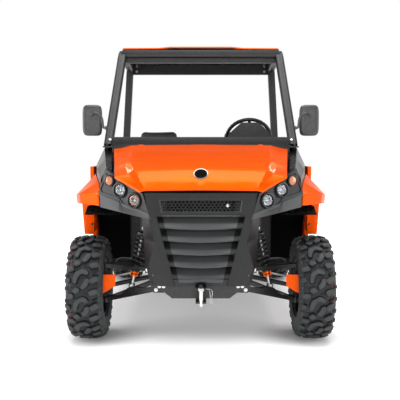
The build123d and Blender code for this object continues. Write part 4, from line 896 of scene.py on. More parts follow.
def shock(end, top, low, turns, wire):
    """Body, rod, spring, ring nuts and eyes of the two shock absorbers of one axle."""
    top, low = np.array(top), np.array(low)
    run = low - top
    length = np.linalg.norm(run)
    unit = run / length

    def at(distance):
        return top + unit * distance

    eye = [(-EYE_HALF, 0.0), (-EYE_HALF, EYE_RADIUS - 0.002), (0.002 - EYE_HALF, EYE_RADIUS),
           (EYE_HALF - 0.002, EYE_RADIUS), (EYE_HALF, EYE_RADIUS - 0.002), (EYE_HALF, 0.0)]
    seat = [(0.020, 0.0), (0.020, 0.014), (0.028, 0.024), (0.033, 0.033), (0.042, 0.033), (0.045, 0.029),
            (0.045, 0.0)]
    start = length - 0.190
    thread = [(start, 0.0), (start, CORE)]
    for ridge in range(RIDGES):
        foot = start + RIDGE_PITCH * ridge
        thread += [(foot, CORE), (foot + RIDGE_PITCH / 2, CREST)]
    thread += [(length - 0.068, CREST), (length - 0.062, 0.0150), (length - 0.058, 0.0)]
    dark = joined(turned(eye, 24, top, BACKWARDS), turned(seat, 32, top, unit),
                  turned(thread, 28, top, unit), beam(at(0.012), at(0.030), 0.013, 20),
                  beam(at(length - 0.104), at(length - 0.094), 0.0300, 32, 0.002),
                  coil(at(0.045), at(length - 0.124), COIL_RADIUS - wire, wire, turns))
    piece(f"{end}_shocks_springs", both_sides(dark), "shock_parts", replaced=[f"{end}_shocks"])
    nuts = joined(notched(0.0250, 0.0028, 12, 0.0145, at(length - 0.078), unit),
                  notched(0.0270, 0.0028, 12, 0.0145, at(length - 0.0965), unit),
                  notched(0.0335, 0.0028, 14, 0.0110, at(length - 0.121), unit))
    piece(f"{end}_shocks_rings", both_sides(nuts), "ring_nut")
    bright = joined(turned(eye, 24, low, BACKWARDS), beam(at(0.040), at(length - 0.180), 0.0070, 20),
                    turned([(length - 0.064, 0.0), (length - 0.064, 0.0125), (length - 0.045, 0.0085),
                            (length - 0.012, 0.0085), (length - 0.012, 0.0)], 20, top, unit),
                    shock_bolts(low), shock_bolts(top))
    piece(f"{end}_shocks_rods", both_sides(bright), "zinc")


def shock_bolts(eye):
    """Bolt heads in front of and behind an eye."""
    ways = np.array([FORWARDS, BACKWARDS])
    return copies(bolt_head(0.0085, 0.006), eye + ways * BOLT_OFF, turns_to(ways))


class VEHICLE_OT_shocks(bpy.types.Operator):
    """Four shock absorbers: eyes, threaded body, ring nuts, coil spring and rod"""

    bl_idname = "vehicle.shocks"
    bl_label = "Shock absorbers"

    def execute(self, context):
        for end, top, low, turns in SHOCKS:
            shock(end, top, low, turns, context.scene.vehicle_sizes.spring_wire)
        return {"FINISHED"}


# ---------------------------------------------------------------- rims
# end, wheel's middle along X, half width, spoke face, inner end of the hub, of the stub, brake disc
RIMS = [
    ("front", 0.6955, 0.0895, 0.0475, -0.0335, -0.0555, -0.0315),
    ("rear", 0.6700, 0.1150, 0.0730, -0.0480, -0.0700, -0.0460),
]
SPOKES = 6
# radius of a spoke's inner end, and its run outwards
SPOKE_FROM, SPOKE_RUN = 0.030, 0.128
# count and radius of the bolts in the lip and of the wheel nuts
LIP_BOLTS, WHEEL_NUTS = (18, 0.1722), (4, 0.050)
# radius of a brake disc, its waves, their height, and its thickness
DISC, WAVES, WAVE, DISC_THICK = 0.1025, 10.0, 0.0025, 0.006
AXLE = np.array(LEFTWARDS)


def round_axle(angle):
    """Points at radius 1 round the axle, from +Y towards +Z."""
    return circle(angle, BACKWARDS, UPWARDS)


def rim_barrel(half, face):
    """The barrel: outer skin at the tyre's bore, a lip at both ends and a ledge for the spokes."""
    profile = [(half, 0.1745), (half - 0.0015, 0.1778), (-half + 0.0015, 0.1778), (-half, 0.1745),
               (-half, 0.1705), (-half + 0.004, 0.1680), (-half + 0.014, 0.1655), (face - 0.03, 0.1615),
               (face - 0.010, 0.1560), (face + 0.006, 0.1545), (face + 0.013, 0.1575), (half - 0.016, 0.1620),
               (half - 0.004, 0.1668), (half, 0.1700), (half, 0.1745)]
    return turned(profile, 96)


def rim_spokes(face):
    """Pairs of spokes that part towards the barrel, each a tapered bar with soft edges."""
    share = np.linspace(0.0, 1.0, 9)
    radius = SPOKE_FROM + SPOKE_RUN * share
    bars = []
    for number in range(SPOKES):
        for lean in (-1.0, 1.0):
            angle = 2.0 * np.pi * number / SPOKES + lean * np.radians(2.5 + 9.5 * share ** 1.3)
            depth = face + 0.021 - 0.013 * share ** 2
            path = depth[:, None] * AXLE + radius[:, None] * round_axle(angle)
            outline = superellipse(16, 4.0) * (0.0085, 0.0115)
            taper = 1.25 - 0.55 * np.sin(np.pi * share) ** 0.8
            bars.append(along(path, outline, taper, up=LEFTWARDS))
    return joined(*bars)


def ringed(surface, count, radius, x, start):
    """A surface that faces +X, repeated round the axle at a radius, from a start angle on."""
    return copies(surface, x * AXLE + radius * round_axle(start + full_turn(count)))


def brake_disc(at):
    """A flat ring whose outer edge waves: radius + height times sin (waves times t)."""
    turn = full_turn(160)
    far = at + DISC_THICK
    levels = [(at, 0.055), (at, 0.100), (at, DISC), (far, DISC), (far, 0.100), (far, 0.055), (at, 0.055)]
    rings = []
    for x, radius in levels:
        wave = WAVE * np.sin(WAVES * turn) if radius == DISC else 0.0 * turn
        rings.append(x * AXLE + (radius + wave)[:, None] * round_axle(turn))
    return grid(np.array(rings), wrap_columns=True)


def rim(end, side, sign, sizes_of_rim):
    """One rim on its wheel: barrel, spokes, hub, cap, nuts, lip bolts and brake disc."""
    wheel_x, half, face, hub, stub, disc = sizes_of_rim
    place = np.array((sign * wheel_x, *JOINT_AT[f"spin_{end}_{side}"][1:]))

    def put(name, surface, finish, replaced=()):
        """A piece of this rim, drawn for the left side about the middle of the wheel."""
        piece(f"rim_{end}_{side}_{name}", shifted(for_side(side, surface), place), finish,
              body=f"wheel_{end}_{side}", replaced=replaced)

    centre = turned([(hub, 0.0), (hub, 0.043), (face - 0.004, 0.045), (face, 0.062), (face + 0.012, 0.066),
                     (face + 0.018, 0.062), (face + 0.0255, 0.038), (face + 0.0255, 0.0)], 64)
    put("wheel", joined(rim_barrel(half, face), rim_spokes(face), centre), "alloy_dark",
        [f"rim_{end}_{side}"])
    cap = turned([(face + 0.020, 0.0), (face + 0.020, 0.027), (face + 0.0258, 0.0245), (face + 0.0260, 0.0)],
                 40)
    lip = ringed(bolt_head(0.0034, 0.0025), *LIP_BOLTS, half - 0.0026, 0.1)
    put("cap", cap, "lamp_black")
    nuts = ringed(bolt_head(0.0082, 0.007), *WHEEL_NUTS, face + 0.0175, 0.785)
    put("nuts", joined(nuts, lip), "zinc")
    axle_end = turned([(stub, 0.0), (stub, 0.0175), (hub, 0.0175), (hub, 0.0)], 32)
    put("brake", joined(brake_disc(disc), axle_end), "zinc")


class VEHICLE_OT_rims(bpy.types.Operator):
    """Four rims with split spokes, centre cap, nuts and brake disc"""

    bl_idname = "vehicle.rims"
    bl_label = "Rims"

    def execute(self, context):
        for end, *sizes_of_rim in RIMS:
            for side, sign in SIDES:
                rim(end, side, sign, sizes_of_rim)
        return {"FINISHED"}


# ---------------------------------------------------------------- lamps
# the lamp panel's plane, by its normal and a point
PANEL_NORMAL = np.array((0.6211, -0.7814, 0.0601))
# lamps face further forwards than the panel that they stand in
LAMP_AIM = np.array((0.46, -0.886, 0.058))
PANEL_AT = np.array((0.345, -1.432, 0.935))
# x, z, outer radius, lens radius
HEADLAMPS = [(0.468, 0.948, 0.0465, 0.0315), (0.379, 0.892, 0.0465, 0.0315)]
INDICATOR = (0.537, 0.999, 0.0345, 0.0310)


def lamp_point(x, z):
    """The point of the lamp panel's plane at x and z."""
    n, o = PANEL_NORMAL, PANEL_AT
    return np.array((x, o[1] - (n[0] * (x - o[0]) + n[2] * (z - o[2])) / n[1], z))


def lamp_parts(x, z, outer, lens):
    """Bezel, bowl, bulb shield and lens of a round lamp, as four surfaces."""
    centre = lamp_point(x, z)
    bezel = [(-0.044, outer - 0.006), (-0.001, outer - 0.0055), (0.001, outer), (0.010, outer),
             (0.014, outer - 0.0025), (0.0150, outer - 0.0065), (0.0130, lens + 0.0035), (0.006, lens + 0.0004),
             (-0.040, lens + 0.0004), (-0.044, lens + 0.002), (-0.044, outer - 0.006)]
    depth = np.linspace(0.0, 1.0, 12)
    bowl = np.stack([0.004 - 0.030 * (1.0 - depth ** 2.2), lens * (0.10 + 0.88 * depth)], -1)
    bowl = np.concatenate([[(-0.030, 0.0)], bowl, [(0.005, lens)], [(-0.034, lens)], [(-0.034, 0.0)]])
    rise = np.linspace(0.0, np.pi / 2, 7)
    shield = np.stack([-0.028 + 0.017 * np.sin(rise), 0.010 * np.cos(rise)], -1)
    shield = np.concatenate([[(-0.028, 0.0)], shield])
    glass = np.stack([0.0068 + 0.0045 * np.sin(rise), (lens - 0.0006) * np.cos(rise)], -1)
    glass = np.concatenate([[(0.0050, 0.0), (0.0050, lens - 0.0006)], glass])
    return [turned(profile, 48, centre, LAMP_AIM) for profile in (bezel, bowl, shield, glass)]


class VEHICLE_OT_lamps(bpy.types.Operator):
    """Round headlamps and turn signals: bezels, bright bowls, bulb shields and lenses"""

    bl_idname = "vehicle.lamps"
    bl_label = "Lamps"

    def execute(self, context):
        sets = list(zip(*(lamp_parts(*lamp) for lamp in HEADLAMPS)))
        for name, surfaces, finish, slot, replaced in (
                ("bezels", sets[0], "lamp_black", "lamp_black", ["headlamps"]),
                ("bowls", sets[1], "lamp_bowl", "lamp_black", []),
                ("shields", sets[2], "lamp_bowl", "lamp_black", []),
                ("glasses", sets[3], "lamp_glass", "lamp_glass", ["headlamp_lenses"])):
            piece(f"headlamp_{name}", both_sides(joined(*surfaces)), finish, replaced=replaced)
        bezel, bowl, shield, glass = lamp_parts(*INDICATOR)
        piece("indicator_bezels", both_sides(bezel), "lamp_black")
        piece("indicator_bulbs", both_sides(shield), "lamp_amber")
        piece("indicator_bowls", both_sides(bowl), "lamp_amber", replaced=["indicators"])
        piece("indicator_glasses", both_sides(glass), "lamp_amber")
        # an amber ring round the lens of the lower headlamp on the right side only: a painted reflection
        x, z, _, lens = HEADLAMPS[1]
        ring = [(0.0005, lens - 0.009), (0.0045, lens - 0.0085), (0.0060, lens - 0.0012),
                (0.0005, lens - 0.0012), (0.0005, lens - 0.009)]
        piece("headlamp_painted_reflection", mirrored(turned(ring, 64, lamp_point(x, z), LAMP_AIM)), "lamp_amber")
        return {"FINISHED"}


# ---------------------------------------------------------------- mirrors, steering wheel
MIRROR_AT = (0.742, -0.606, 1.384)
MIRROR_ARM = [(0.652, -0.640, 1.331), (0.664, -0.640, 1.334), (0.668, -0.640, 1.396), (0.690, -0.640, 1.426),
              (0.720, -0.640, 1.436), (0.742, -0.636, 1.424)]


class VEHICLE_OT_mirrors(bpy.types.Operator):
    """Two mirrors: rounded heads, glass, bent arms, joints and clamps on the cage"""

    bl_idname = "vehicle.mirrors"
    bl_label = "Mirrors"

    def execute(self, context):
        head = stacked(superellipse(56, 5.0) * (0.0665, 0.106),
                       [(-0.0168, 0.0), (-0.0168, 0.40), (-0.0162, 0.62), (-0.0145, 0.80), (-0.0110, 0.92),
                        (-0.0050, 0.985), (0.002, 1.0), (0.0150, 1.0), (0.0168, 0.985), (0.0168, 0.945),
                        (0.0145, 0.935), (0.0130, 0.93), (0.0130, 0.0)], MIRROR_AT, BACKWARDS)
        ridge = stacked(superellipse(44, 4.0) * (0.040, 0.070),
                        [(0.0130, 0.0), (0.0130, 0.92), (0.0142, 0.99), (0.0172, 1.0), (0.0172, 0.0)],
                        MIRROR_AT, FORWARDS)
        glass = stacked(superellipse(56, 5.0) * (0.0620, 0.0992),
                        [(0.0132, 0.0), (0.0132, 1.0), (0.0150, 0.985), (0.0152, 0.0)],
                        MIRROR_AT, BACKWARDS)
        x = MIRROR_AT[0]
        joint = beam((x, -0.642, 1.424), (x, -0.620, 1.424), 0.012, 24, 0.002)
        clamp = beam((0.640, -0.654, 1.331), (0.640, -0.600, 1.331), 0.014, 24, 0.002)
        arm = tube(smoothed(MIRROR_ARM), 0.0078, 14, up=BACKWARDS)
        body = joined(head, ridge, joint, clamp, arm)
        piece("mirrors_shells", both_sides(body), "lamp_panel", replaced=["mirrors"])
        piece("mirrors_glasses", both_sides(glass), "mirror_glass")
        return {"FINISHED"}


WHEEL_AT = np.array((0.361, -0.130, 1.272))
WHEEL_AXIS = np.array((0.0, math.cos(math.radians(35.0)), math.sin(math.radians(35.0))))
# radius of the rim's middle and of its section, number and height of the finger ridges
WHEEL_RADIUS, GRIP_RADIUS = 0.166, 0.0130
RIDGES_ROUND, RIDGE_RISE = 36.0, 0.05
# angle of each spoke from the wheel's right, seen by the driver
WHEEL_SPOKES = (0.0, 90.0, 180.0)


class VEHICLE_OT_steering_wheel(bpy.types.Operator):
    """Steering wheel: soft rim with finger ridges, three spokes, a hub pad and its shaft"""

    bl_idname = "vehicle.steering_wheel"
    bl_label = "Steering wheel"

    def execute(self, context):
        right, over = np.array(LEFTWARDS), -np.cross(WHEEL_AXIS, LEFTWARDS)
        turn = full_turn(192)
        grips = 1.0 + RIDGE_RISE * np.cos(turn * RIDGES_ROUND) * (np.abs(np.cos(turn)) > 0.45)
        path = WHEEL_AT + WHEEL_RADIUS * circle(turn, right, over)
        parts = [along(path, superellipse(16, 2.2) * GRIP_RADIUS, grips, True, WHEEL_AXIS)]
        for outwards in circle(np.radians(WHEEL_SPOKES), right, over):
            share = np.linspace(0.0, 1.0, 9)[:, None]
            path = WHEEL_AT + outwards * (0.030 + 0.130 * share) - WHEEL_AXIS * 0.008 * np.sin(np.pi * share)
            outline = superellipse(18, 3.0) * (0.015, 0.0042)
            parts.append(along(path, outline, 1.2 - 0.45 * share[:, 0], up=WHEEL_AXIS))
        parts.append(stacked(superellipse(48, 3.0) * (0.046, 0.042),
                             [(-0.014, 0.0), (-0.014, 0.80), (-0.006, 1.0), (0.006, 1.0), (0.012, 0.92),
                              (0.0135, 0.6), (0.0135, 0.0)], WHEEL_AT, WHEEL_AXIS, right))
        parts.append(beam(WHEEL_AT - WHEEL_AXIS * 0.12, WHEEL_AT - WHEEL_AXIS * 0.012, 0.012, 24))
        piece("steering_wheel_grip", joined(*parts), "black_plastic", body="steering_wheel",
              replaced=["steering_wheel"], sharp=50.0)
        return {"FINISHED"}


# ---------------------------------------------------------------- seats
# x of both edges of a cushion, backrest and headrest, and what each pad is narrower by before it swells
SEAT_X = (0.105, 0.600)
BACK_X = (0.110, 0.578)
HEAD_X = (0.188, 0.522)
SEAT_SLACK = 0.011
# the headrest's share of the swell
HEAD_SWELL = 0.15
# y, low z, high z of the cushion, front to back
CUSHION_STATIONS = [(0.054, 0.662, 0.716), (0.066, 0.654, 0.737), (0.110, 0.652, 0.747), (0.250, 0.652, 0.739),
                    (0.400, 0.652, 0.743), (0.446, 0.656, 0.736), (0.457, 0.668, 0.722)]
# z, front y, rear y, share of the half width of the backrest and headrest, bottom to top
BACK_STATIONS = [(0.776, 0.416, 0.466, 0.86), (0.790, 0.413, 0.476, 0.93), (0.900, 0.432, 0.504, 0.97),
                 (1.040, 0.460, 0.533, 0.99), (1.150, 0.486, 0.556, 0.97), (1.205, 0.503, 0.558, 0.88),
                 (1.222, 0.514, 0.550, 0.78)]
HEAD_STATIONS = [(1.241, 0.522, 0.560, 0.82), (1.248, 0.514, 0.568, 0.93), (1.285, 0.511, 0.571, 1.0),
                 (1.318, 0.515, 0.569, 0.97), (1.334, 0.522, 0.564, 0.88), (1.340, 0.530, 0.556, 0.78)]


def pad_rings(middles, half_widths, half_depths, across, over, power=4.5, steps=48):
    """A closed pad: rings of a superellipse, each with a middle, a half width and a half depth of its own."""
    ring = superellipse(steps, power)
    rings = (middles[:, None] + half_widths[:, None, None] * ring[None, :, :1] * np.asarray(across)
             + half_depths[:, None, None] * ring[None, :, 1:] * np.asarray(over))
    ends = [np.broadcast_to(middles[i], rings[0].shape)[None] for i in (0, -1)]
    return grid(np.concatenate([ends[0], rings, ends[1]]), wrap_columns=True)


def cushion_pad():
    """The seat cushion, by its stations from front to back."""
    y, low, high = np.array(CUSHION_STATIONS).T
    middle_x = sum(SEAT_X) / 2
    middles = np.stack([np.full(len(y), middle_x), y, (low + high) / 2], -1)
    half = (SEAT_X[1] - SEAT_X[0]) / 2 - SEAT_SLACK
    widths = half * np.array([0.94, 0.985, 1.0, 1.0, 1.0, 0.985, 0.94])
    return pad_rings(middles, widths, (high - low) / 2, LEFTWARDS, UPWARDS, 7.0)


def upright_pad(stations, limits):
    """A backrest or headrest between two limits of x, by its stations from the bottom up."""
    z, front, rear, share = np.array(stations).T
    middles = np.stack([np.full(len(z), sum(limits) / 2), (front + rear) / 2, z], -1)
    half = (limits[1] - limits[0]) / 2 - SEAT_SLACK
    return pad_rings(middles, half * share, (rear - front) / 2, LEFTWARDS, BACKWARDS, 5.0)


# size of the mesh that swells
VOXEL = 0.0065
CLOTH_FRAMES = 20
CLOTH_PRESSURE = 4.0


def stuffed(surface, swell):
    """A pad that swells as cloth under pressure, each point by no more than swell, and is subdivided once."""
    mesh = bpy.data.meshes.new("pad")
    mesh.from_pydata(surface[0].tolist(), [], surface[1].tolist())
    cleaned(mesh, 1e-6, 1e-6)
    pad = placed("pad", mesh)
    remesh = pad.modifiers.new("remesh", "REMESH")
    remesh.mode = "VOXEL"
    remesh.voxel_size = VOXEL
    bake(pad)
    start = coordinates(pad.data)
    cloth = pad.modifiers.new("cloth", "CLOTH")
    cloth.settings.quality = 5
    cloth.settings.use_pressure = True
    cloth.settings.uniform_pressure_force = CLOTH_PRESSURE
    cloth.settings.effector_weights.gravity = 0.0
    cloth.collision_settings.use_collision = False
    for number in range(1, CLOTH_FRAMES + 1):
        bpy.context.scene.frame_set(number)
    bake(pad)
    bpy.context.scene.frame_set(1)
    move = coordinates(pad.data) - start
    reach = np.linalg.norm(move, axis=1)
    capped = start + move * (np.minimum(reach, swell) / np.maximum(reach, 1e-9))[:, None]
    pad.data.vertices.foreach_set("co", capped.ravel())
    finer = pad.modifiers.new("finer", "SUBSURF")
    finer.levels = 1
    finer.render_levels = 1
    bake(pad)
    points = coordinates(pad.data)
    corners = np.empty(len(pad.data.loops), int)
    pad.data.loops.foreach_get("vertex_index", corners)
    bpy.data.objects.remove(pad)
    return points, corners.reshape(-1, 4)


def bake(obj):
    """Applies the modifiers of an object to its mesh."""
    ready = obj.evaluated_get(bpy.context.evaluated_depsgraph_get())
    mesh = bpy.data.meshes.new_from_object(ready)
    obj.modifiers.clear()
    obj.data = mesh


def coordinates(mesh):
    """The points of a mesh, one row for each."""
    points = np.empty(len(mesh.vertices) * 3)
    mesh.vertices.foreach_get("co", points)
    return points.reshape(-1, 3)


def nearest_line(values, lines):
    """Distance to the nearest of several lines."""
    return np.abs(values[:, None] - np.asarray(lines)).min(1)


# x of the two lengthwise seams, and depth and half width of all seams
SEAMS_X = (0.190, 0.515)
SEAM_DEPTH, SEAM_HALF = 0.0065, 0.0055


def sewn(surface, side, crosswise, axis):
    """Two lengthwise seams, and cross seams between them at places along an axis, on the face towards side."""
    points, faces = surface
    facing = np.clip((points @ side - np.quantile(points @ side, 0.55)) * 60.0, 0.0, 1.0)
    inside = (points[:, 0] > SEAMS_X[0]) & (points[:, 0] < SEAMS_X[1])
    across = np.where(inside, nearest_line(points[:, axis], crosswise), 1.0)
    distance = np.minimum(nearest_line(points[:, 0], SEAMS_X), across)
    sink = SEAM_DEPTH * np.exp(-(distance / SEAM_HALF) ** 2) * facing
    return points - side * sink[:, None], faces


class VEHICLE_OT_seats(bpy.types.Operator):
    """Two seats: swelled cushions, backrests and headrests with sewn channels"""

    bl_idname = "vehicle.seats"
    bl_label = "Seats"

    def execute(self, context):
        swell = context.scene.vehicle_sizes.swell
        up, front = np.array(UPWARDS), np.array((0.0, -0.94, 0.34))
        cushion = sewn(stuffed(cushion_pad(), swell), up, (0.14, 0.23, 0.32), 1)
        back = sewn(stuffed(upright_pad(BACK_STATIONS, BACK_X), swell), front, (0.87, 0.96, 1.05, 1.14), 2)
        head = stuffed(upright_pad(HEAD_STATIONS, HEAD_X), swell * HEAD_SWELL)
        for side, _ in SIDES:
            for name, surface, nodes in (("cushion", cushion, ["seat_cushions"]),
                                         ("back", back, ["seat_backs"]), ("headrest", head, [])):
                pad = piece(f"seat_{name}_{side}", for_side(side, surface), "seat_vinyl", replaced=nodes,
                            sharp=180.0)
        posts = [beam((x, 0.5385, 1.20), (x, 0.5385, 1.262), 0.0060, 16) for x in (0.315, 0.397)]
        piece("seat_posts", both_sides(joined(*posts)), "zinc")
        return {"FINISHED"}


# ---------------------------------------------------------------- screen of the bumper
SCREEN_AT = (0.0, -1.463, 0.863)
SCREEN_TILT = math.atan2(0.018, 0.082)
SCREEN_UP = (0.0, math.sin(SCREEN_TILT), math.cos(SCREEN_TILT))
SCREEN_OUT = (0.0, -math.cos(SCREEN_TILT), math.sin(SCREEN_TILT))
CELL_PITCH, ROW_PITCH = 0.022, 0.0155
ROWS, CELLS_IN_ROW = 4, 17
# half width of the square cells at both ends, the x of the outermost, and how many stand side by side
SQUARE_HALF, SQUARE_AT, SQUARES_IN_ROW = 0.006, 0.222, 3
# half sizes of the holes of both kinds of cell
HOLE, SQUARE_HOLE = (0.0088, 0.0079), (0.0043, 0.0058)


def on_screen(points):
    """Takes (across, up, outwards) to the screen's plane."""
    return points @ np.array([LEFTWARDS, SCREEN_UP, SCREEN_OUT]) + SCREEN_AT


def cell_tile(outer, inner):
    """One cell: from its outline up over a rounded brow, down into the hole and back under the sheet."""
    levels = [(0.0, 0.0006), (0.30, 0.0018), (0.65, 0.0019), (0.92, 0.0008), (1.0, -0.0012), (1.0, -0.0048),
              (0.0, -0.0048), (0.0, 0.0006)]
    rings = [np.concatenate([outer + (inner - outer) * share, np.full((len(outer), 1), height)], -1)
             for share, height in levels]
    return grid(np.array(rings), wrap_columns=True)


def outline_points(corners, steps):
    """Points at equal steps round a closed outline."""
    corners = np.asarray(corners, float)
    following = np.roll(corners, -1, 0)
    share = np.linspace(0.0, 1.0, steps, endpoint=False)[None, :, None]
    return (corners[:, None] * (1.0 - share) + following[:, None] * share).reshape(-1, 2)


class VEHICLE_OT_screen(bpy.types.Operator):
    """Honeycomb screen with square cells at both ends, its border and its knob"""

    bl_idname = "vehicle.screen"
    bl_label = "Screen"

    def execute(self, context):
        half, tall, point = CELL_PITCH / 2, ROW_PITCH / 2, ROW_PITCH * 2.0 / 3.0
        hexagon = [(0.0, point), (half, point / 2), (half, -point / 2), (0.0, -point), (-half, -point / 2),
                   (-half, point / 2)]
        outer = outline_points(hexagon, 6)
        turn = np.arctan2(outer[:, 1], outer[:, 0])
        six = cell_tile(outer, circle(turn, (1.0, 0.0), (0.0, 1.0)) * HOLE)
        outer = outline_points([(SQUARE_HALF, tall), (SQUARE_HALF, -tall), (-SQUARE_HALF, -tall),
                                (-SQUARE_HALF, tall)], 6)
        turn = np.arctan2(outer[:, 1] * 0.8, outer[:, 0])
        size = (np.abs(np.cos(turn)) ** 5 + np.abs(np.sin(turn)) ** 5) ** -0.2
        four = cell_tile(outer, size[:, None] * circle(turn, (1.0, 0.0), (0.0, 1.0)) * SQUARE_HOLE)
        places, squares = [], []
        for row in range(ROWS):
            height = (row - (ROWS - 1) / 2) * ROW_PITCH
            count = CELLS_IN_ROW - row % 2
            places += [((column - (count - 1) / 2) * CELL_PITCH, height, 0.0) for column in range(count)]
            squares += [(side * (SQUARE_AT - 2.0 * SQUARE_HALF * column), height, 0.0)
                        for column in range(SQUARES_IN_ROW) for side in (-1, 1)]
        cells = joined(copies(six, places), copies(four, squares))
        border = []
        for reach, tall, level in ((0.2355, 0.0350, -0.0048), (0.2355, 0.0350, 0.0012),
                                   (0.2290, 0.0318, 0.0012), (0.2280, 0.0308, -0.0048),
                                   (0.2355, 0.0350, -0.0048)):
            border.append([(reach, tall, level), (-reach, tall, level), (0.010 - reach, -tall, level),
                           (reach - 0.010, -tall, level)])
        sheet = joined(cells, grid(np.array(border), wrap_columns=True))
        piece("grille_mesh_cells", (on_screen(sheet[0]), sheet[1]), "lamp_panel",
              replaced=["grille_mesh"], sharp=40.0)
        knob = dome(0.0105, 0.006, 24)
        place = on_screen(np.array([(0.151, 0.003, 0.0010)]))
        piece("grille_knob", copies(knob, place, turns_to([SCREEN_OUT])), "zinc")
        return {"FINISHED"}


# ---------------------------------------------------------------- fasteners and small fittings
def seated(node, origin, direction):
    """Where a ray from origin meets a node of the frame, and which way the surface faces there."""
    mesh = NODES[node].data
    tree = BVHTree.FromPolygons([vertex.co for vertex in mesh.vertices],
                                [face.vertices for face in mesh.polygons])
    place, normal, _, _ = tree.ray_cast(Vector(origin), Vector(direction))
    if place is None:
        raise ValueError(f"nothing of {node} lies ahead of {origin}")
    if normal.dot(Vector(direction)) > 0.0:
        normal = -normal
    return tuple(place), tuple(normal)


# name, node that carries them, finish, slot, head radius, head height, rounded, ray, starts on the left side
FASTENERS = [
    ("arch_rivets", "front_fenders", "bolt_black", "black_plastic", 0.0085, 0.004, True, (0, 1, 0),
     [(0.733, -1.0, 0.806), (0.727, -1.0, 0.688)]),
    ("pivot_bolts", "chassis_frame", "zinc", "zinc", 0.0085, 0.006, False, (0, 1, 0),
     [(0.269, -1.45, 0.341), (0.318, -1.45, 0.465), (0.269, 0.50, 0.341), (0.300, 0.60, 0.470)]),
    ("gusset_bolts", "front_arms", "zinc", "zinc", 0.0080, 0.006, False, (0, 1, 0), [(0.427, -1.45, 0.339)]),
    ("pillar_bolts", "roll_cage", "zinc", "zinc", 0.0062, 0.005, False, (0, 1, 0),
     [(0.608, -1.0, 1.251), (0.629, -1.0, 1.214)]),
    ("header_bolts", "roll_cage", "zinc", "zinc", 0.0080, 0.005, False, (0, 1, 0),
     [(0.541, 0.30, 1.893), (0.541, 0.30, 1.850)]),
    ("cowl_screws", "cowl", "bolt_black", "black_plastic", 0.0060, 0.003, True, (0, 1, 0),
     [(0.560, -1.0, 1.184)]),
    ("pillar_foot_bolts", "roll_cage", "zinc", "zinc", 0.0065, 0.005, False, (0, 0, -1),
     [(0.588, -0.727, 1.3), (0.646, -0.590, 1.3), (0.588, -0.590, 1.3)]),
    ("roof_rivets", "roof", "bolt_black", "black_plastic", 0.0085, 0.004, True, (0, 0, -1),
     [(0.540, -0.270, 2.2), (0.575, 0.100, 2.2), (0.590, 0.545, 2.2)]),
    ("wing_rivets", "front_fenders", "bolt_black", "black_plastic", 0.0070, 0.003, True, (-1, 0, 0),
     [(1.0, -0.65, 0.98), (1.0, -0.65, 0.80), (1.0, -0.62, 0.62)]),
    ("rear_wing_rivets", "rear_fenders", "bolt_black", "black_plastic", 0.0070, 0.003, True, (-1, 0, 0),
     [(1.0, 0.48, 0.74), (1.0, 0.48, 0.50), (1.0, 0.60, 0.74)]),
    ("bumper_plate_bolts", "front_bumper", "bolt_black", "black_steel", 0.0070, 0.004, True, (0, 1, 0),
     [(0.300, -1.7, 0.760), (0.272, -1.7, 0.470)]),
    ("cage_bolts", "roll_cage", "bolt_black", "black_steel", 0.0080, 0.005, False, (-1, 0, 0),
     [(1.0, 0.560, 1.20), (1.0, 0.560, 1.26), (1.0, 0.560, 1.80)]),
    ("bed_bolts", "cargo_bed", "bolt_black", "black_steel", 0.0070, 0.004, True, (-1, 0, 0),
     [(1.0, 0.624, 1.073), (1.0, 0.841, 1.073), (1.0, 1.058, 1.073), (1.0, 1.276, 1.073), (1.0, 1.470, 1.073)]),
]


class VEHICLE_OT_fasteners(bpy.types.Operator):
    """Bolts, rivets and screws of both sides, seated on the parts that they hold"""

    bl_idname = "vehicle.fasteners"
    bl_label = "Fasteners"

    def execute(self, context):
        for name, node, finish, slot, radius, height, rounded, ray, starts in FASTENERS:
            head = dome(radius, height) if rounded else bolt_head(radius, height)
            places, normals = zip(*(seated(node, start, ray) for start in starts))
            body = NODES[node]["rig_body"]
            piece(name, both_sides(copies(head, places, turns_to(normals))), finish, body=body)
        foot = cube_round((0.195, -1.442, 0.391), (0.255, -1.434, 0.428), 12.0, 32)
        piece("bumper_feet", both_sides(foot), "black_steel")
        heads = copies(bolt_head(0.0078, 0.005), [(0.213, -1.442, 0.4015), (0.237, -1.442, 0.4015)],
                       turns_to([FORWARDS] * 2))
        piece("bumper_foot_bolts", both_sides(heads), "zinc")
        place, normal = seated("bonnet", (0.0, -2.0, 1.041), BACKWARDS)
        oval = superellipse(64, 2.0)
        rim_levels = [(-0.002, 1.0), (0.0032, 1.0), (0.0042, 0.97), (0.0038, 0.92), (0.0022, 0.90),
                      (-0.002, 0.90), (-0.002, 1.0)]
        face_levels = [(-0.002, 0.0), (-0.002, 0.91), (0.0024, 0.91), (0.0030, 0.60), (0.0032, 0.0)]
        size = (0.0415, 0.0470)
        piece("badge_rim", stacked(oval * size, rim_levels, place, normal), "zinc", body="bonnet")
        piece("badge_face", stacked(oval * size, face_levels, place, normal), "deep_black",
              body="bonnet")
        return {"FINISHED"}


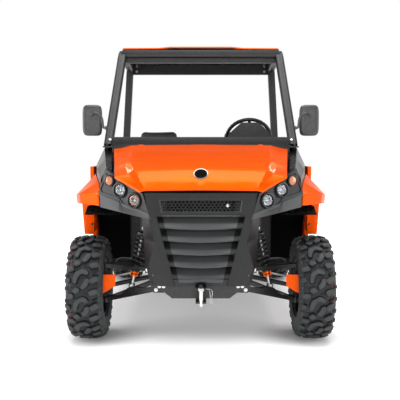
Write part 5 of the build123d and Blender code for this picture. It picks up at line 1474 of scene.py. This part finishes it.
# ---------------------------------------------------------------- handles, hoses and controls
# middle lines of one front brake's hose, the handrail, the gear lever and the clip of the tow pin
BRAKE_HOSE = [(0.118, -1.040, 0.476), (0.120, -1.040, 0.492), (0.160, -1.040, 0.499), (0.300, -1.038, 0.497),
              (0.412, -1.032, 0.496), (0.490, -1.016, 0.502), (0.530, -1.008, 0.494), (0.538, -1.007, 0.474)]
HANDRAIL = [(-0.48, -0.430, 1.185), (-0.48, -0.390, 1.193), (-0.45, -0.372, 1.198), (-0.25, -0.372, 1.198),
            (-0.22, -0.390, 1.193), (-0.22, -0.430, 1.185)]
LEVER = [(0.060, -0.425, 1.060), (0.060, -0.370, 1.090), (0.060, -0.310, 1.165)]
CLIP = [(0.014, -1.500, 0.399), (0.052, -1.500, 0.397), (0.061, -1.500, 0.392), (0.066, -1.500, 0.380),
        (0.061, -1.500, 0.345), (0.064, -1.500, 0.325), (0.060, -1.500, 0.312), (0.053, -1.500, 0.322),
        (0.052, -1.500, 0.380), (0.046, -1.500, 0.390)]
DIAL_AT = (0.350, -0.3455, 1.318)


class VEHICLE_OT_fittings(bpy.types.Operator):
    """Handles, hoses, roof liner, tow pin and the controls of the cabin"""

    bl_idname = "vehicle.fittings"
    bl_label = "Fittings"

    def execute(self, context):
        piece("brake_hoses", both_sides(tube(smoothed(BRAKE_HOSE), 0.0034, 10)), "hose_rubber",
              replaced=["brake_lines"])
        liner = cube_round((-0.545, -0.262, 1.9005), (0.545, 0.538, 1.9045), 30.0, 48)
        piece("roof_liner", liner, "lamp_black")
        handle = cube_round((0.7295, 0.283, 0.805), (0.7405, 0.357, 0.829), 5.0)
        piece("door_handle_left", handle, "lamp_black", body=NODES["door_left"]["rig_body"])
        piece("door_handle_right", mirrored(handle), "lamp_black", body=NODES["door_right"]["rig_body"])
        piece("tailgate_handle", cube_round((-0.050, 1.5035, 0.991), (0.050, 1.5165, 1.023), 6.0), "lamp_black",
              body=NODES["tailgate"]["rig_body"])
        pin = [(0.0, 0.0), (0.0, 0.0090), (0.004, 0.0115), (0.088, 0.0115), (0.088, 0.0175), (0.099, 0.0180),
               (0.104, 0.0150), (0.104, 0.0)]
        piece("tow_pin", turned(pin, 32, (0.001, -1.5185, 0.303), UPWARDS), "zinc")
        piece("tow_clip", tube(smoothed(CLIP), 0.0017, 8, up=BACKWARDS), "zinc")
        piece("handrail", tube(smoothed(HANDRAIL), 0.011, 14), "black_plastic")
        knob = cube_round((0.037, -0.333, 1.150), (0.083, -0.287, 1.200), 2.4)
        piece("gear_lever", joined(tube(smoothed(LEVER), 0.006, 12), knob), "lamp_black")
        glovebox = cube_round((-0.50, -0.4285, 1.015), (-0.22, -0.4195, 1.105), 14.0, 48)
        catch = cube_round((-0.385, -0.4215, 1.080), (-0.335, -0.4135, 1.094), 5.0)
        piece("glovebox", joined(glovebox, catch), "lamp_panel")
        pedals = []
        for x in (0.300, 0.415):
            arm = smoothed([(x, -0.588, 0.800), (x, -0.560, 0.740), (x, -0.552, 0.640)])
            pad = cube_round((x - 0.034, -0.556, 0.600), (x + 0.034, -0.542, 0.672), 6.0)
            pedals += [tube(arm, 0.007, 12), pad]
        piece("pedals", joined(*pedals), "black_steel")
        bezel = [(0.0, 0.0), (0.0, 0.047), (0.005, 0.049), (0.009, 0.047), (0.010, 0.042), (0.004, 0.040),
                 (0.004, 0.0)]
        face = [(0.001, 0.0), (0.001, 0.0405), (0.0065, 0.0405), (0.0065, 0.0)]
        piece("dial_bezel", turned(bezel, 48, DIAL_AT, BACKWARDS), "zinc")
        piece("dial_face", turned(face, 48, DIAL_AT, BACKWARDS), "dial")
        needle = tube([(0.350, -0.3375, 1.312), (0.333, -0.3375, 1.342)], 0.0012, 8)
        piece("dial_needle", needle, "lamp_amber")
        return {"FINISHED"}


# ---------------------------------------------------------------- studio
CAMERA_AT = (-0.005, -5.270, 1.164)
CAMERA_PITCH = 4.0
CAMERA_LENS, SENSOR = 61.0, 36.0

# name, place, size, watts, aim
LAMPS = [
    ("top_light", (0.0, -1.5, 5.2), 3.6, 215.0, (0.0, -1.0, 0.8)),
    ("left_light", (4.6, -2.2, 2.0), 2.0, 55.0, (0.2, -0.8, 0.8)),
    ("right_light", (-4.6, -1.4, 1.8), 2.4, 100.0, (-0.2, -0.9, 0.9)),
    ("front_light", (0.0, -8.0, 2.6), 2.6, 95.0, (0.0, -0.6, 0.8)),
    ("back_light", (0.0, 5.6, 5.2), 2.6, 70.0, (0.0, 0.8, 0.8)),
    ("back_light_left", (3.0, 2.1, 4.7), 0.8, 46.0, (0.4, -1.2, 1.1)),
    ("back_light_right", (-3.0, 2.1, 4.7), 0.8, 42.0, (-0.4, -1.2, 1.1)),
]


FLOOR_RADIUS = 30.0


def studio_floor(colour):
    """A wide pale disc: rings of a radius that grows with the square of the ring's number."""
    rings, spokes = 12, 64
    radius = FLOOR_RADIUS * (np.arange(1, rings + 1) / rings) ** 2
    flat = circle(full_turn(spokes), LEFTWARDS, BACKWARDS)
    points, quads = grid(radius[:, None, None] * flat, wrap_columns=True)
    mesh = bpy.data.meshes.new("studio_floor")
    mesh.from_pydata(points.tolist(), [], [*quads.tolist(), list(range(spokes))])
    mesh.materials.append(floor_finish(colour))
    placed("studio_floor", mesh)


# glow of the floor under the vehicle and round it, lower under the vehicle as painted shadow; half the size of
# that painted shadow across and along, and the shares of that size between which the glow rises
FLOOR_GLOW = (0.27, 0.98)
SHADOW_HALF = (0.95, 1.22)
FLOOR_FADE = (0.72, 1.20)
# where the tyres stand, how much of the glow is left there and how far the darker patch reaches, a painted
# shadow at each tyre
TYRE_AT = (0.68, 1.03)
TYRE_GLOW = 0.16
TYRE_FADE = (0.08, 0.40)


def floor_finish(colour):
    """Pale floor that reads as white where it is lit, and keeps the shadow, with painted shadow: less glow
    under the vehicle and round the tyres.
    """
    finish = Finish("studio_floor", Roughness=0.9, Specular_IOR_Level=0.0)
    speckle = finish.noise(3.0, 2.0) * 0.02
    finish.feed("Base Color", finish.mixed(speckle, colour, scaled(colour, 0.9)))
    across, along_it = finish.axis("X") / SHADOW_HALF[0], finish.axis("Y") / SHADOW_HALF[1]
    reach = (across * across * across * across + along_it * along_it * along_it * along_it) ** 0.25
    # painted shadow: the glow is low under the vehicle and rises outside it
    glow = reach.step(*FLOOR_FADE) * (FLOOR_GLOW[1] - FLOOR_GLOW[0]) + FLOOR_GLOW[0]
    off_x, off_y = (abs(finish.axis(name)) - place for name, place in zip("XY", TYRE_AT))
    off_tyre = (off_x * off_x + off_y * off_y) ** 0.5
    # painted shadow: the glow drops further round each tyre
    glow = finish.seen_directly() * glow * (off_tyre.step(*TYRE_FADE) * (1.0 - TYRE_GLOW) + TYRE_GLOW)
    grey = finish.add("ShaderNodeCombineColor", {}, {"Red": glow, "Green": glow, "Blue": glow})
    finish.feed("Emission Color", grey)
    finish.shader.inputs["Emission Strength"].default_value = 1.0
    return finish.material


# strength of the light from all sides
AMBIENT = 0.36
# share of white that the studio's ceiling keeps, and the heights of the line of sight between which it darkens
CEILING = 0.22
CEILING_RISE = (0.26, 0.46)


def studio_world():
    """White up to well over the horizon where it is seen, with a darker ceiling; plain soft light elsewhere."""
    world = bpy.data.worlds.new("studio")
    world.use_nodes = True
    bpy.context.scene.world = world
    nodes = Nodes(world.node_tree, "Background")
    sight = nodes.add("ShaderNodeTexCoord", {}, {}, "Generated")
    height = nodes.add("ShaderNodeSeparateXYZ", {}, {"Vector": sight}, "Z")
    low, high = CEILING_RISE
    backdrop = nodes.add("ShaderNodeMapRange", {}, {"Value": height, "From Min": low, "From Max": high,
                                                    "To Min": 1.0, "To Max": CEILING})
    strength = nodes.add("ShaderNodeMapRange", {}, {"Value": nodes.seen_directly(), "To Min": AMBIENT,
                                                    "To Max": backdrop})
    nodes.feed("Strength", strength)
    nodes.shader.inputs["Color"].default_value = (1.0, 1.0, 1.0, 1.0)


class VEHICLE_OT_studio(bpy.types.Operator):
    """Floor, soft lamps, pale world and the camera"""

    bl_idname = "vehicle.studio"
    bl_label = "Studio"

    def execute(self, context):
        studio_floor(tuple(context.scene.vehicle_colours.floor))
        studio_world()
        for name, place, size, watts, aim in LAMPS:
            light = bpy.data.lights.new(name, "AREA")
            light.shape = "SQUARE"
            light.size = size
            light.energy = watts
            lamp = placed(name, light)
            lamp.location = place
            lamp.rotation_euler = (Vector(aim) - Vector(place)).to_track_quat("-Z", "Y").to_euler()
        data = bpy.data.cameras.new("camera")
        data.lens = CAMERA_LENS
        data.sensor_width = SENSOR
        camera = placed("camera", data)
        camera.location = CAMERA_AT
        camera.rotation_euler = (math.radians(90.0 - CAMERA_PITCH), 0.0, 0.0)
        context.scene.camera = camera
        context.scene.view_settings.view_transform = "Standard"
        return {"FINISHED"}


class VEHICLE_PT_panel(bpy.types.Panel):
    """Lists the operators and the sizes"""

    bl_idname = "VEHICLE_PT_panel"
    bl_label = "Vehicle"
    bl_space_type = "VIEW_3D"
    bl_region_type = "UI"
    bl_category = "Vehicle"

    def draw(self, context):
        for group in (context.scene.vehicle_sizes, context.scene.vehicle_colours):
            for name in group.bl_rna.properties.keys():
                if name not in ("rna_type", "name"):
                    self.layout.prop(group, name)
        for operator in OPERATORS:
            self.layout.operator(operator.bl_idname)


OPERATORS = (VEHICLE_OT_studio, VEHICLE_OT_plates, VEHICLE_OT_tyres, VEHICLE_OT_rims, VEHICLE_OT_shocks,
             VEHICLE_OT_lamps, VEHICLE_OT_mirrors, VEHICLE_OT_steering_wheel, VEHICLE_OT_seats,
             VEHICLE_OT_screen, VEHICLE_OT_fasteners, VEHICLE_OT_fittings)
CLASSES = (VehicleColours, VehicleSizes, *OPERATORS, VEHICLE_PT_panel)


def register():
    for cls in CLASSES:
        bpy.utils.register_class(cls)
    bpy.types.Scene.vehicle_colours = PointerProperty(type=VehicleColours)
    bpy.types.Scene.vehicle_sizes = PointerProperty(type=VehicleSizes)


def unregister():
    del bpy.types.Scene.vehicle_sizes
    del bpy.types.Scene.vehicle_colours
    for cls in reversed(CLASSES):
        bpy.utils.unregister_class(cls)


def main():
    """Makes the finishes and all pieces."""
    register()
    make_finishes(bpy.context.scene.vehicle_colours)
    for operator in OPERATORS:
        family, name = operator.bl_idname.split(".")
        getattr(getattr(bpy.ops, family), name)()
    bpy.context.view_layer.update()


if __name__ == "__main__":
    main()
